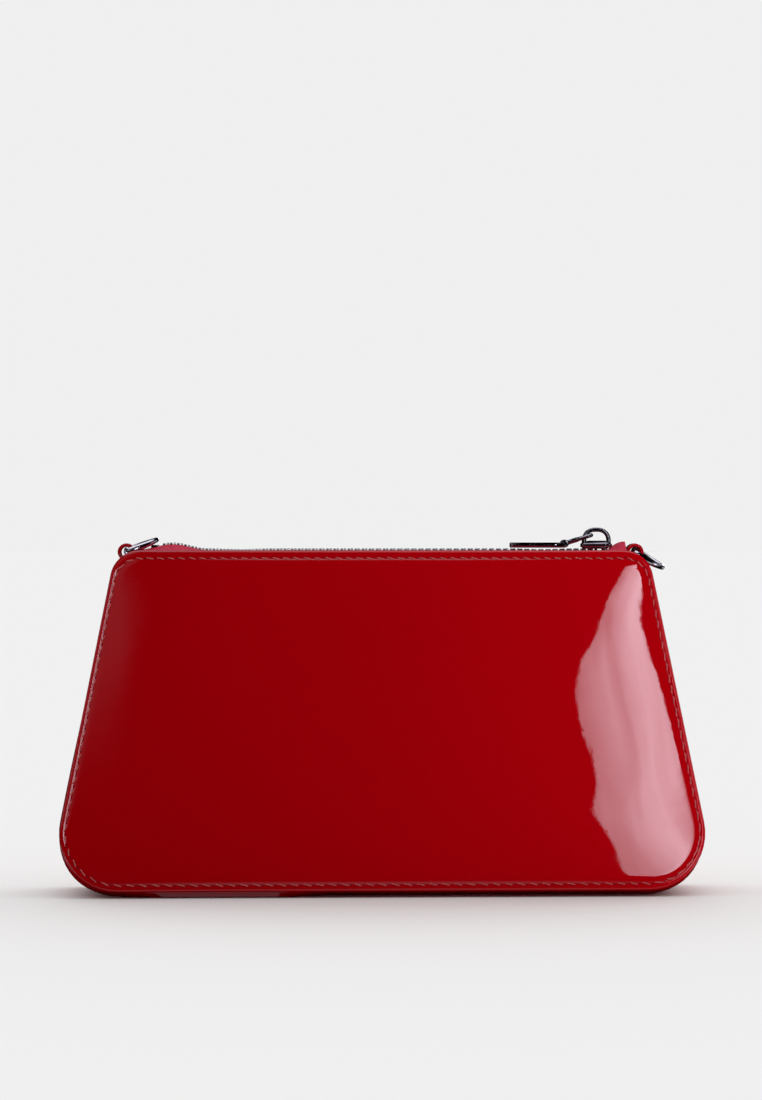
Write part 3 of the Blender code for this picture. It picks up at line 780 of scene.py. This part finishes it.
def stripMesh(stepIn, bulge, skipTop, crease):
    shape = bmesh.new()
    rows = []
    centreX, halfLength, fuller = gusset["belly"]
    half = gusset["halfRows"]
    across = [math.sin(math.pi / 2 * n / half) for n in range(-half, half + 1)]
    sideTurn = gusset["sideTurn"]
    for point, out in stripStations():
        if point.y > bag["height"] - skipTop:
            continue
        # how far round the top corner this station is: 0 on the top edge, 1 on the side
        turned = (math.pi / 2 - math.atan2(out.y, abs(out.x))) / (math.pi / 2 - sideTurn)
        dip = 1 - smoothStep((turned - gusset["dipHolds"]) / (1 - gusset["dipHolds"]))
        inset = gusset["inset"] + (gusset["endInset"] - gusset["inset"]) * dip + stepIn
        full = smoothStep((bag["height"] - point.y) / gusset["growsOver"])
        full *= gusset["sideShare"] + (1 - gusset["sideShare"]) * smoothStep(-out.y * 1.1)
        rise = gusset["endBulge"] + (bulge - gusset["endBulge"]) * full
        way = Vector((out.x, 0.0, out.y))
        foot = Vector((point.x, 0.0, bag["lift"] + point.y * math.cos(lean))) - way * inset
        near = 1 - min(abs(point.x - centreX) / halfLength, 1.0)
        flat = gusset["flat"] + fuller * smoothStep(near * 2) * smoothStep(-out.y * 1.5)
        row = []
        for share in across:
            past = max(0.0, abs(share) - flat) / (1 - flat)
            place = foot + way * rise * (1 - past**2)
            fold = noise.noise(Vector((point.x * 60, point.y * 60, share * 2)))
            place -= way * crease * abs(fold) * full * (1 - abs(share)) * (1 + out.y)
            place.y = share * innerHalfDepth(place.z)
            row.append(shape.verts.new(place))
        rows.append(row)
    for before, after in zip(rows, rows[1:]):
        for a, b, c, d in zip(before, before[1:], after[1:], after):
            shape.faces.new((a, b, c, d))
    return shape


# gives an open sheet its thickness for good
def thicken(piece, thickness, offset):
    step = piece.modifiers.new("thickness", "SOLIDIFY")
    step.thickness = thickness
    step.offset = offset
    step.use_even_offset = True
    graph = bpy.context.evaluated_depsgraph_get()
    mesh = bpy.data.meshes.new_from_object(piece.evaluated_get(graph))
    piece.modifiers.clear()
    piece.data = mesh
    mesh.shade_smooth()
    mesh.set_sharp_from_angle(angle=math.radians(50))


def addGusset():
    outer = stripMesh(0.0, bag["lift"] + gusset["inset"], -1.0, gusset["crease"])
    made = addObject("sideGusset", outer, redLeather, 0, closed=False)
    thicken(made, gusset["thick"], -1.0)
    settle(made, "bag", "gusset")
    inner = stripMesh(gusset["linerStep"], gusset["linerBulge"], bag["topRadius"], 0.0)
    made = addObject("gussetLining", inner, redLining, 0, closed=False)
    thicken(made, gusset["linerThick"], -1.0)
    settle(made, "bag", "gusset_lining")


addGusset()
nodes["base_board"].material_slots[0].material = greyBoard
print("gusset made")

zipper = {
    "z": topZ - 0.35 * mm,
    "tapeThick": 0.55 * mm,
    "tapeEnds": (-90.4 * mm, 92.4 * mm),
    "tapeInner": 1.5 * mm,
    "tapeSteps": 180,
    "tapeClear": 0.15 * mm,
    "tapeTurn": 0.9 * mm,
    "tapeDrop": 1.0 * mm,
    "tapeRuck": 0.10 * mm,
    "flange": 7.5 * mm,
    "endFlange": 2.8 * mm,
    "shortFrom": 82.0 * mm,
    "shortTo": 87.0 * mm,
    "pitch": 2.68 * mm,
    "toothEnds": (-82.5 * mm, 82.6 * mm),
    "sliderX": 81.8 * mm,
    "sliderHalf": 5.8 * mm,
    "spread": 0.6 * mm,
}
# centre, half length and height of each rise of the soft tapes
tapeRises = (
    (-79.0 * mm, 14.0 * mm, 2.2 * mm),
    (-53.0 * mm, 12.0 * mm, -0.3 * mm),
    (61.0 * mm, 13.0 * mm, -0.3 * mm),
    (92.4 * mm, 8.5 * mm, 3.3 * mm),
)
# sections of one tooth from its head to its heel: across, half width, half height
toothShape = (
    (-0.90, 0.26, 0.36),
    (-0.72, 0.42, 0.62),
    (-0.20, 0.47, 0.80),
    (0.35, 0.36, 0.80),
    (0.80, 0.40, 0.86),
    (1.25, 0.52, 1.00),
    (2.40, 0.50, 1.00),
    (2.75, 0.34, 0.74),
)


def tapeRise(x):
    height = 0.0
    for centre, halfLength, rise in tapeRises:
        off = (x - centre) / halfLength
        if abs(off) < 1:
            height += rise * math.cos(off * math.pi / 2) ** 2
    return height


def chainSpread(x):
    return zipper["spread"] * smoothStep((x - zipper["sliderX"]) / zipper["sliderHalf"])


def tapeSheet(rear):
    way = 1 if rear else -1
    shape = bmesh.new()
    steps = zipper["tapeSteps"]
    start, end = zipper["tapeEnds"]
    zipZ = zipper["z"]
    turnZ = zipZ - zipper["tapeDrop"]
    bend = zipper["tapeTurn"]
    off = zipper["tapeThick"] / 2 + zipper["tapeClear"]
    rows = []
    for n in range(steps + 1):
        x = start + (end - start) * n / steps
        rise = tapeRise(x)
        short = smoothStep((abs(x) - zipper["shortFrom"]) / (zipper["shortTo"] - zipper["shortFrom"]))
        low = zipZ - zipper["flange"] + (zipper["flange"] - zipper["endFlange"]) * short
        outer = innerHalfDepth(zipZ) - off
        lowOuter = innerHalfDepth(low) - off
        inner = zipper["tapeInner"] + chainSpread(x)
        ruck = noise.noise(Vector((x * 220, way, 0))) * zipper["tapeRuck"]
        section = [(lowOuter, low), ((lowOuter + outer) / 2, (low + turnZ) / 2)]
        for turn in range(0, 91, 18):
            swing = math.radians(turn)
            section.append((outer - bend * (1 - math.cos(swing)), turnZ + bend * math.sin(swing)))
        for share in (0.3, 0.5, 0.7, 0.85, 1.0):
            y = outer - bend + (inner - outer + bend) * share
            swell = smoothStep(share) * rise + ruck * math.sin(share * math.pi)
            section.append((y, zipZ - (zipper["tapeDrop"] - bend) * (1 - share) + swell))
        rows.append([shape.verts.new((x, way * y, z)) for y, z in section])
    for before, after in zip(rows, rows[1:]):
        for a, b, c, d in zip(before, before[1:], after[1:], after):
            shape.faces.new((a, b, c, d) if rear else (d, c, b, a))
    return shape


def addTape(rear):
    name = "rearZipTape" if rear else "frontZipTape"
    node = "zip_tape_rear" if rear else "zip_tape_front"
    made = addObject(name, tapeSheet(rear), redTape)
    thicken(made, zipper["tapeThick"], 0.0)
    hang(made, rear, node)


def addTooth(shape, way, x):
    lift = zipper["z"] + tapeRise(x)
    tilt = (tapeRise(x + 0.5 * mm) - tapeRise(x - 0.5 * mm)) / mm
    rings = []
    for across, half, high in toothShape:
        y = way * (across * mm + chainSpread(x))
        flat = softBlock(half * mm, high * mm, count=12)
        rings.append([(x + wide, y, lift + tall + wide * tilt) for wide, tall in flat])
    loft(shape, rings)


def addTeeth(rear):
    way = 1 if rear else -1
    first, last = zipper["toothEnds"]
    start = first + 0.5 * mm + (zipper["pitch"] / 2 if rear else 0.0)
    count = int((last - start) / zipper["pitch"]) + 1
    places = [start + n * zipper["pitch"] for n in range(count)]
    groups = {"left": -1, "right": 1} if rear else {"": 0}
    for side, half in groups.items():
        shape = bmesh.new()
        for x in places:
            if half * x >= 0:
                addTooth(shape, way, x)
        name = ("rear" if rear else "front") + "ZipTeeth" + side.title()
        made = addObject(name, shape, toothMetal, 60)
        if rear:
            takeMouth(made, "zip_teeth_rear")
        else:
            settle(made, "bag", "zip_teeth_front")


stopper = {
    "pinch": 0.88,
    "bevel": 0.32 * mm,
    "round": 0.6,
    "corner": 0.9,
}


# a folded metal stop, the size of its CAD node, with a pinch line across it
def addStop(node, name):
    low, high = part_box(node)
    size = high - low
    centre = (low + high) / 2
    centre.z = zipper["z"] + tapeRise(centre.x)
    shape = bmesh.new()
    bmesh.ops.create_cube(shape, size=1.0, matrix=Matrix.Diagonal((*size, 1.0)))
    bmesh.ops.subdivide_edges(shape, edges=shape.edges[:], cuts=2, use_grid_fill=True)
    for vert in shape.verts:
        if abs(vert.co.x) < size.x / 4:
            vert.co.z *= stopper["pinch"]
    edges = [edge for edge in shape.edges if edge.calc_face_angle(0.0) > stopper["corner"]]
    soft = {"offset": stopper["bevel"], "segments": 3, "profile": stopper["round"]}
    bmesh.ops.bevel(shape, geom=edges, affect="EDGES", **soft)
    bmesh.ops.translate(shape, verts=shape.verts, vec=centre)
    return addObject(name, shape, toothMetal)


for rear in (False, True):
    addTape(rear)
    addTeeth(rear)
for node, name in (("top_stop_front", "frontTopStop"), ("bottom_stop", "bottomStop")):
    settle(addStop(node, name), "bag", node)
takeMouth(addStop("top_stop_rear", "rearTopStop"), "top_stop_rear")
nodes["pull_pin"].material_slots[0].material = gunmetal
print("zip made")

pull = {
    "bailHalf": 5.5 * mm,
    "bailBar": 1.65 * mm,
    "bailWidth": 3.0 * mm,
    "bailPower": 2.5,
    "linkPivot": Vector((79.8 * mm, 0.0, topZ + 5.6 * mm)),
    "tabPivot": Vector((69.6 * mm, 0.0, topZ + 2.4 * mm)),
    "wire": 0.74 * mm,
    "loopLength": 5.6 * mm,
    "loopHalf": 2.45 * mm,
    "lugHalf": 1.25 * mm,
    "lugThin": 0.92 * mm,
    "tabLength": 20.8 * mm,
    "tabHalf": 3.1 * mm,
    "tabThick": 2.0 * mm,
    "tabLow": -1.58 * mm,
    "slotHalf": 1.55 * mm,
    "slotLength": 2.4 * mm,
    "tabCorners": (2.4 * mm, 0.9 * mm),
    "tabEdge": ((0.9, 0.0), (0.4, 0.0), (0.12, 0.12), (0.0, 0.4)),
    "tabField": ((0.75, -0.02), (0.95, -0.14), (1.2, -0.16)),
    "eye": ((-1.25, 1.1), (-1.2, 1.3), (-1.05, 1.42), (1.05, 1.42), (1.2, 1.3), (1.25, 1.1)),
    "ear": ((1.55, 1.4), (1.62, 1.5), (2.9, 1.5), (3.04, 1.44), (3.1, 1.3), (3.1, 0.92), (2.95, 0.76)),
}


# a turned shape about a line along Y, from (along, radius) pairs in millimetres
def turned(shape, centre, profile, sides=28):
    rings = []
    for along, radius in profile:
        rings.append([centre + Vector((a, along * mm, b)) for a, b in circle(radius * mm, sides)])
    loft(shape, rings)


def finishPull(name, shape, body, node):
    settle(addObject(name, shape, gunmetal, 42), body, node)


slider = {
    "tail": -5.8 * mm,
    "nose": 5.8 * mm,
    "tailHalf": 3.9 * mm,
    "noseHalf": 5.1 * mm,
    "inside": 1.35 * mm,
    "upper": 1.7 * mm,
    "lower": 1.1 * mm,
    "slot": 0.75 * mm,
    "postX": 4.0 * mm,
    "post": 0.75 * mm,
    "corners": (1.0, 2.8, 2.8, 1.0),
    "foot": ((0.5, 0.0), (0.08, 0.0), (0.0, 0.1)),
    "shoulder": ((0.0, -0.55), (0.1, -0.27), (0.34, -0.08)),
    "crown": ((1.3, 0.42), (2.0, 0.7), (2.8, 0.84)),
    "skirtHalf": 0.4 * mm,
    "skirtIn": 0.3 * mm,
}


# two plates that narrow towards the closed teeth, their skirts, and the wedge that joins them
def addSliderBody():
    shape = bmesh.new()
    centre = Vector((zipper["sliderX"], 0.0, zipper["z"]))
    tail, nose = slider["tail"], slider["nose"]
    wide, broad = slider["tailHalf"], slider["noseHalf"]
    for way, thick in ((1, slider["upper"]), (-1, slider["lower"])):
        top = slider["inside"] + thick
        profile = [(inset, slider["inside"] + rise * mm) for inset, rise in slider["foot"]]
        profile += [(inset, top + rise * mm) for inset, rise in slider["shoulder"]]
        profile.append((0.7, top + 0.1 * way * mm))
        if way > 0:
            profile += [(inset, top + rise * mm) for inset, rise in slider["crown"]]
        rings = []
        for inset, z in profile:
            step = inset * mm
            corners = [(tail + step, -wide + step), (nose - step, -broad + step)]
            corners += [(x, -y) for x, y in corners[::-1]]
            radii = [max(radius * mm - step, 0.3 * mm) for radius in slider["corners"]]
            flat = roundedRing(corners, radii, (12, 8, 12, 8), 10)
            rings.append([centre + Vector((x, y, way * z)) for x, y in flat])
        loft(shape, rings)
        middle = way * (slider["inside"] + slider["skirtIn"] + slider["slot"]) / 2
        high = (slider["inside"] + slider["skirtIn"] - slider["slot"]) / 2
        for side in (-1, 1):
            first = Vector((tail + 0.7 * mm, side * (wide - 0.45 * mm), middle))
            last = Vector((nose - 2.6 * mm, side * (broad - 0.62 * mm), middle))
            skirt = [centre + first.lerp(last, n / 6) for n in range(7)]
            sweep(shape, skirt, crosswise, softBlock(slider["skirtHalf"], high, 0.4))
    rings = []
    for n in range(5):
        z = slider["inside"] * (n / 2 - 1) * 1.05
        flat = circle(slider["post"], 20)
        foot = centre + Vector((slider["postX"], 0.0, z))
        rings.append([foot + Vector((a, b, 0.0)) for a, b in flat])
    loft(shape, rings)
    finishPull("sliderBody", shape, "slider", "slider_body")


def addBail():
    low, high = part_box("slider_bail")
    centre = Vector(((low.x + high.x) / 2, 0.0, low.z))
    half = pull["bailHalf"] - pull["bailBar"] / 2
    points = [centre + Vector((half, 0.0, -bag["gap"]))]
    steps = 44
    for n in range(steps + 1):
        turn = math.pi * n / steps
        x = math.copysign(abs(math.cos(turn)) ** (2 / pull["bailPower"]), math.cos(turn))
        z = math.sin(turn) ** (2 / pull["bailPower"]) if 0 < n < steps else 0.0
        points.append(centre + Vector((half * x, 0.0, half * z)))
    points.append(centre + Vector((-half, 0.0, -bag["gap"])))

    def section(share):
        slim = 1 - 0.12 * math.sin(math.pi * share)
        return softBlock(pull["bailWidth"] / 2 * slim, pull["bailBar"] / 2, 0.5)

    shape = bmesh.new()
    sweep(shape, points, crosswise, section)
    finishPull("sliderBail", shape, "slider", "slider_bail")


def addLink():
    along = pull["linkPivot"] - pull["tabPivot"]
    slope = math.atan2(along.z, along.x)
    matrix = Matrix.Translation(pull["linkPivot"]) @ Matrix.Rotation(-slope, 4, "Y")
    half, length = pull["loopHalf"], pull["loopLength"]
    corners = ((0.0, half), (-length, half), (-length, -half), (0.0, -half))
    flat = roundedRing(corners, (1.2 * mm,) * 4, (8, 6, 8, 6), 8)
    points = [matrix @ Vector((x, y, 0.0)) for x, y in flat]
    up = matrix.to_3x3() @ Vector((0, 0, 1))
    shape = bmesh.new()
    sweep(shape, points, up, circle(pull["wire"], 14), closed=True)
    reach = along.length
    steps = 10
    lug = []
    for n in range(steps + 1):
        x = -length + 0.2 * mm - (reach - length + 0.2 * mm) * n / steps
        lug.append(matrix @ Vector((x, 0.0, 0.0)))

    def section(share):
        wide = pull["lugHalf"] + (half - pull["lugHalf"]) * (1 - smoothStep(share * 1.8))
        return softBlock(wide, pull["lugThin"], 0.5)

    sweep(shape, lug, crosswise, section)
    turned(shape, pull["tabPivot"], pull["eye"])
    finishPull("pullLink", shape, "pull_link", "pull_link")


# a plate with turned-down edges, two arms round the link's eye, and ears bored for the pin
def addTab():
    pivot = pull["tabPivot"]
    half, length, start = pull["tabHalf"], pull["tabLength"], pull["slotLength"]
    shape = bmesh.new()
    rings = []
    thick = pull["tabThick"] / mm
    edge = pull["tabEdge"]
    upper = [(inset, thick - rise) for inset, rise in edge[:0:-1]]
    field = [(inset, thick + rise) for inset, rise in pull["tabField"]]
    for inset, rise in (*edge, *upper, *field):
        inset *= mm
        corners = ((-length + inset, -half + inset), (-start - inset, -half + inset))
        corners += tuple((x, -y) for x, y in corners[::-1])
        far, near = pull["tabCorners"]
        big, small = far - inset, max(0.3 * mm, near - inset)
        radii = (big, small, small, big)
        ring = roundedRing(corners, radii, (14, 4, 14, 4), 8)
        z = pull["tabLow"] + rise * mm
        rings.append([pivot + Vector((x, y, z)) for x, y in ring])
    loft(shape, rings)
    armHalf = (half - pull["slotHalf"]) / 2
    for way in (-1, 1):
        turned(shape, pivot, [(way * y, radius) for y, radius in pull["ear"]])
        middle = way * (half + pull["slotHalf"]) / 2
        z = pull["tabLow"] + pull["tabThick"] / 2
        arm = [pivot + Vector((-start - 0.8 * mm + n * 0.4 * mm, middle, z)) for n in range(9)]
        sweep(shape, arm, crosswise, softBlock(armHalf, pull["tabThick"] / 2, 0.3))
    finishPull("pullTab", shape, "pull_tab", "pull_tab")


addSliderBody()
addBail()
addLink()
addTab()
print("pull made")

ring = {
    "x": 96.2 * mm,
    "z": topZ - 0.8 * mm,
    "wire": 0.92 * mm,
    "band": 1.6,
    "tip": 1.0,
    "half": 6.2 * mm,
    "reach": 12.2 * mm,
    "power": 0.8,
    "angles": {"left": math.radians(22), "right": math.radians(-28)},
    "twists": {"left": math.radians(3), "right": math.radians(8)},
}
loop = {
    "middle": 2.6 * mm,
    "thick": 1.4 * mm,
    "width": 8.0 * mm,
    "tailX": 89.4 * mm,
    "sweep": math.radians(262),
}


def ringPath():
    points = []
    steps = 56
    for n in range(1, steps):
        turn = -math.pi / 2 + math.pi * n / steps
        out = ring["reach"] * math.cos(turn) ** ring["power"]
        points.append(Vector((out, ring["half"] * math.sin(turn), 0.0)))
    bar = [Vector((0.0, ring["half"] * (1 - 2 * n / 12), 0.0)) for n in range(13)]
    return points + bar


def addRing(side):
    way = -1 if side == "left" else 1
    place = Matrix.Translation((way * ring["x"], 0.0, ring["z"]))
    swing = Matrix.Rotation(-ring["angles"][side], 4, "Y")
    twist = Matrix.Rotation(ring["twists"][side], 4, "X")
    matrix = place @ swing @ twist
    points = [matrix @ point for point in ringPath()]
    up = (matrix.to_3x3() @ Vector((0, 0, 1))).normalized()
    shape = bmesh.new()

    def section(share):
        wide = ring["band"] - (ring["band"] - ring["tip"]) * math.sin(math.pi * min(share / 0.82, 1.0))
        return [(a * wide, b) for a, b in circle(ring["wire"], 20)]

    sweep(shape, points, up, section, closed=True)
    settle(addObject(f"{side}Ring", shape, nickel, 0), f"ring_{side}", f"ring_{side}")


# up round the ring's bar and back down on its own tail
def addLoop(side):
    way = -1 if side == "left" else 1
    radius = loop["middle"]
    flat = []
    for n in range(9):
        flat.append((loop["tailX"] + (ring["x"] - loop["tailX"]) * n / 9, -radius))
    for n in range(33):
        turn = -math.pi / 2 + loop["sweep"] * n / 32
        flat.append((ring["x"] + radius * math.cos(turn), radius * math.sin(turn)))
    x, z = flat[-1]
    points = [Vector((way * x, 0.0, ring["z"] + z)) for x, z in flat]
    section = softBlock(loop["width"] / 2, loop["thick"] / 2, 0.25, 0.45)
    shape = bmesh.new()
    sweep(shape, points, crosswise, section)
    made = addObject(f"{side}RingTab", shape, redLeather, 55)
    settle(made, "bag", f"ring_tab_{side}")


for side in ("left", "right"):
    addRing(side)
    addLoop(side)
print("rings made")

studio = {
    "pale": 0.868,
    "floor": 0.965,
    "distance": 1.30,
    "azimuth": math.radians(-2.5),
    "frameHeight": 0.4125,
    "aimX": -0.0006,
    "height": 0.1293,
}


def addFloor():
    bpy.ops.mesh.primitive_plane_add(size=600.0, location=(0.0, 0.0, 0.0))
    floor = bpy.context.object
    floor.name = "paleFloor"
    f = Finish("paleFloorPaper", roughness=0.9, specularIorLevel=0.0)
    shade = studio["floor"]
    f.set(baseColor=f.mix(f.noise(3.0), (shade, shade, shade), (shade, shade, shade * 0.998)))
    floor.data.materials.append(f.material)
    floor.visible_glossy = False


# what the glossy pieces mirror: soft edges by their start and end, glows by their least
# strength and how much more they reach
sky = {
    "near": 0.139,
    "far": 0.248,
    "narrows": (0.148, 0.62, 0.56),  # the height, and how its two edges lean above it
    "foot": (0.1, 0.15),  # the height, and how its near edge leans below it
    "ragged": (105.0, 0.003),  # waves and their depth
    "leastWidth": 0.02,
    "nearEdge": (0.0, 0.0012),
    "farSoft": (0.42, 0.37),  # low down, and how much less above
    "crisp": (0.115, 0.155),
    "bottom": (0.029, 0.033),
    "top": (0.34, 0.40),
    "streaks": (9.0, 3.0),
    "streakLean": (4.0, 0.4),
    "softbox": (3.9, 5.4),
    "brighter": (0.0, 0.6),
    "streaked": (0.35, 1.2),
    "leftStarts": (0.090, 0.135),
    "leftEnds": (0.5, 1.2),
    "leftUp": (0.13, 0.2),
    "leftGlow": 0.26,
    "overhead": (0.80, 0.90),
    "overheadGlow": 1.6,
    "sides": (0.80, 0.93),
    "sidesStart": (0.02, 0.2),
    "sidesEnd": (0.3, 0.5),
    "sidesGlow": 0.6,
    "tableStarts": (0.32, 1.0),
    "tableEnds": (1.1, 2.4),
    "behind": (0.0, 0.1),
    "tableGlow": (0.25, 0.5),
    "cardStarts": (0.92, 1.16),
    "cardEnds": (1.5, 2.2),
    "cardTop": (0.28, 0.42),
    "cardFoot": (0.85, 1.1),
    "cardGlow": (1.2, 2.4),
    "dark": 0.002,
    "daylight": (0.44, 0.10, 0.70, 0.52),  # even, then more to the right, up and rearward
    "dimmest": 0.015,
    "tint": (1.0, 0.92, 1.04),
}


# a bright softbox to the right, a dim one to the left, a big one overhead, and dark studio
# between them; the same again behind the bag
def addSky():
    world = bpy.data.worlds.new("studioSky")
    bpy.context.scene.world = world
    world.use_nodes = True
    p = Paint(world.node_tree)
    world.node_tree.nodes.clear()

    def band(value, starts, ends):
        return p.step(value, *sky[starts]) * (1 - p.step(value, *sky[ends]))

    x, y, z = p.parts(p.node("TexCoord", output="Generated"))
    facing = abs(y) + 0.0001
    u = x / facing
    w = z / facing
    bend, nearSlope, farSlope = sky["narrows"]
    above = p.larger(w - bend, 0.0)
    bend, footSlope = sky["foot"]
    below = p.larger(bend - w, 0.0)
    waves, depth = sky["ragged"]
    ragged = p.wave(w * waves) * depth
    near = u - (sky["near"] + above * nearSlope + below * footSlope + ragged)
    far = sky["far"] - above * farSlope - u
    across = near / p.larger(near + far, sky["leastWidth"])
    soft, crisper = sky["farSoft"]
    soften = soft - p.step(w, *sky["crisp"]) * crisper
    softbox = p.step(near, *sky["nearEdge"]) * p.step((1 - across) / soften, 0.0, 1.0)
    softbox = softbox * band(w, "bottom", "top")
    spread, slope = sky["streakLean"]
    at = p.node("CombineXYZ", {}, {0: u * spread, 1: w - u * slope, 2: y})
    streaks = p.noise(*sky["streaks"], at=at)
    glow, more = sky["softbox"]
    least, streaked = sky["streaked"]
    softbox = softbox * (glow + p.step(across, *sky["brighter"]) * more) * (least + streaks * streaked)
    leftGlow = band(0.0 - u, "leftStarts", "leftEnds") * p.step(w, *sky["leftUp"])
    overhead = p.step(z, *sky["overhead"])
    sides = p.step(abs(x), *sky["sides"]) * band(z, "sidesStart", "sidesEnd")
    down = 0.0 - w
    table = band(down, "tableStarts", "tableEnds") * (1 - p.step(y, *sky["behind"]))
    card = band(abs(u), "cardStarts", "cardEnds") * band(down, "cardTop", "cardFoot")
    low = sky["dark"]
    for shown, part in ((table, "tableGlow"), (card, "cardGlow")):
        glow, streaked = sky[part]
        low = shown * (glow + streaks * streaked) + low
    mirror = softbox + leftGlow * sky["leftGlow"] + low
    mirror = mirror + overhead * sky["overheadGlow"] + sides * sky["sidesGlow"]
    even, right, up, rearward = sky["daylight"]
    daylight = p.larger(even + x * right + z * up + y * rearward, sky["dimmest"])
    camera = p.node("LightPath", output="Is Camera Ray")
    glossy = p.node("LightPath", output="Is Glossy Ray")
    lit = (1 - camera) * (1 - glossy) * daylight
    shown = camera * studio["pale"] + lit + glossy * mirror
    tint = p.mix(glossy, (1.0, 1.0, 1.0), sky["tint"])
    back = p.node("Background", {}, {"Color": tint, "Strength": shown})
    p.node("OutputWorld", {}, {"Surface": back})


def addLamp(name, place, size, power):
    lamp = bpy.data.lights.new(name, "AREA")
    lamp.size = size
    lamp.energy = power
    made = bpy.data.objects.new(name, lamp)
    made.location = place
    aim = Vector((0.0, 0.0, 0.06)) - Vector(place)
    made.rotation_mode = "QUATERNION"
    made.rotation_quaternion = aim.to_track_quat("-Z", "Y")
    made.visible_glossy = False
    bpy.context.scene.collection.objects.link(made)
    unlit = bpy.data.collections.new("unlitBackdrop")
    unlit.objects.link(bpy.data.objects["paleFloor"])
    made.light_linking.receiver_collection = unlit
    unlit.collection_objects[0].light_linking.link_state = "EXCLUDE"


def addCamera():
    data = bpy.data.cameras.new("camera")
    camera = bpy.data.objects.new("camera", data)
    bpy.context.scene.collection.objects.link(camera)
    azimuth, distance = studio["azimuth"], studio["distance"]
    aim = Vector((studio["aimX"], cadLow.y + 0.012, studio["height"]))
    back = Vector((math.sin(azimuth), -math.cos(azimuth), 0.0))
    camera.location = aim + back * distance
    camera.rotation_mode = "QUATERNION"
    camera.rotation_quaternion = (-back).to_track_quat("-Z", "Y")
    data.sensor_width = 36.0
    data.lens = data.sensor_width * distance / studio["frameHeight"]
    data.clip_start = 0.05
    bpy.context.scene.camera = camera


addFloor()
addSky()
addLamp("rightLamp", (0.45, -0.70, 0.45), 0.4, 2.6)
addCamera()
bpy.context.scene.view_settings.view_transform = "Standard"
print("studio made")
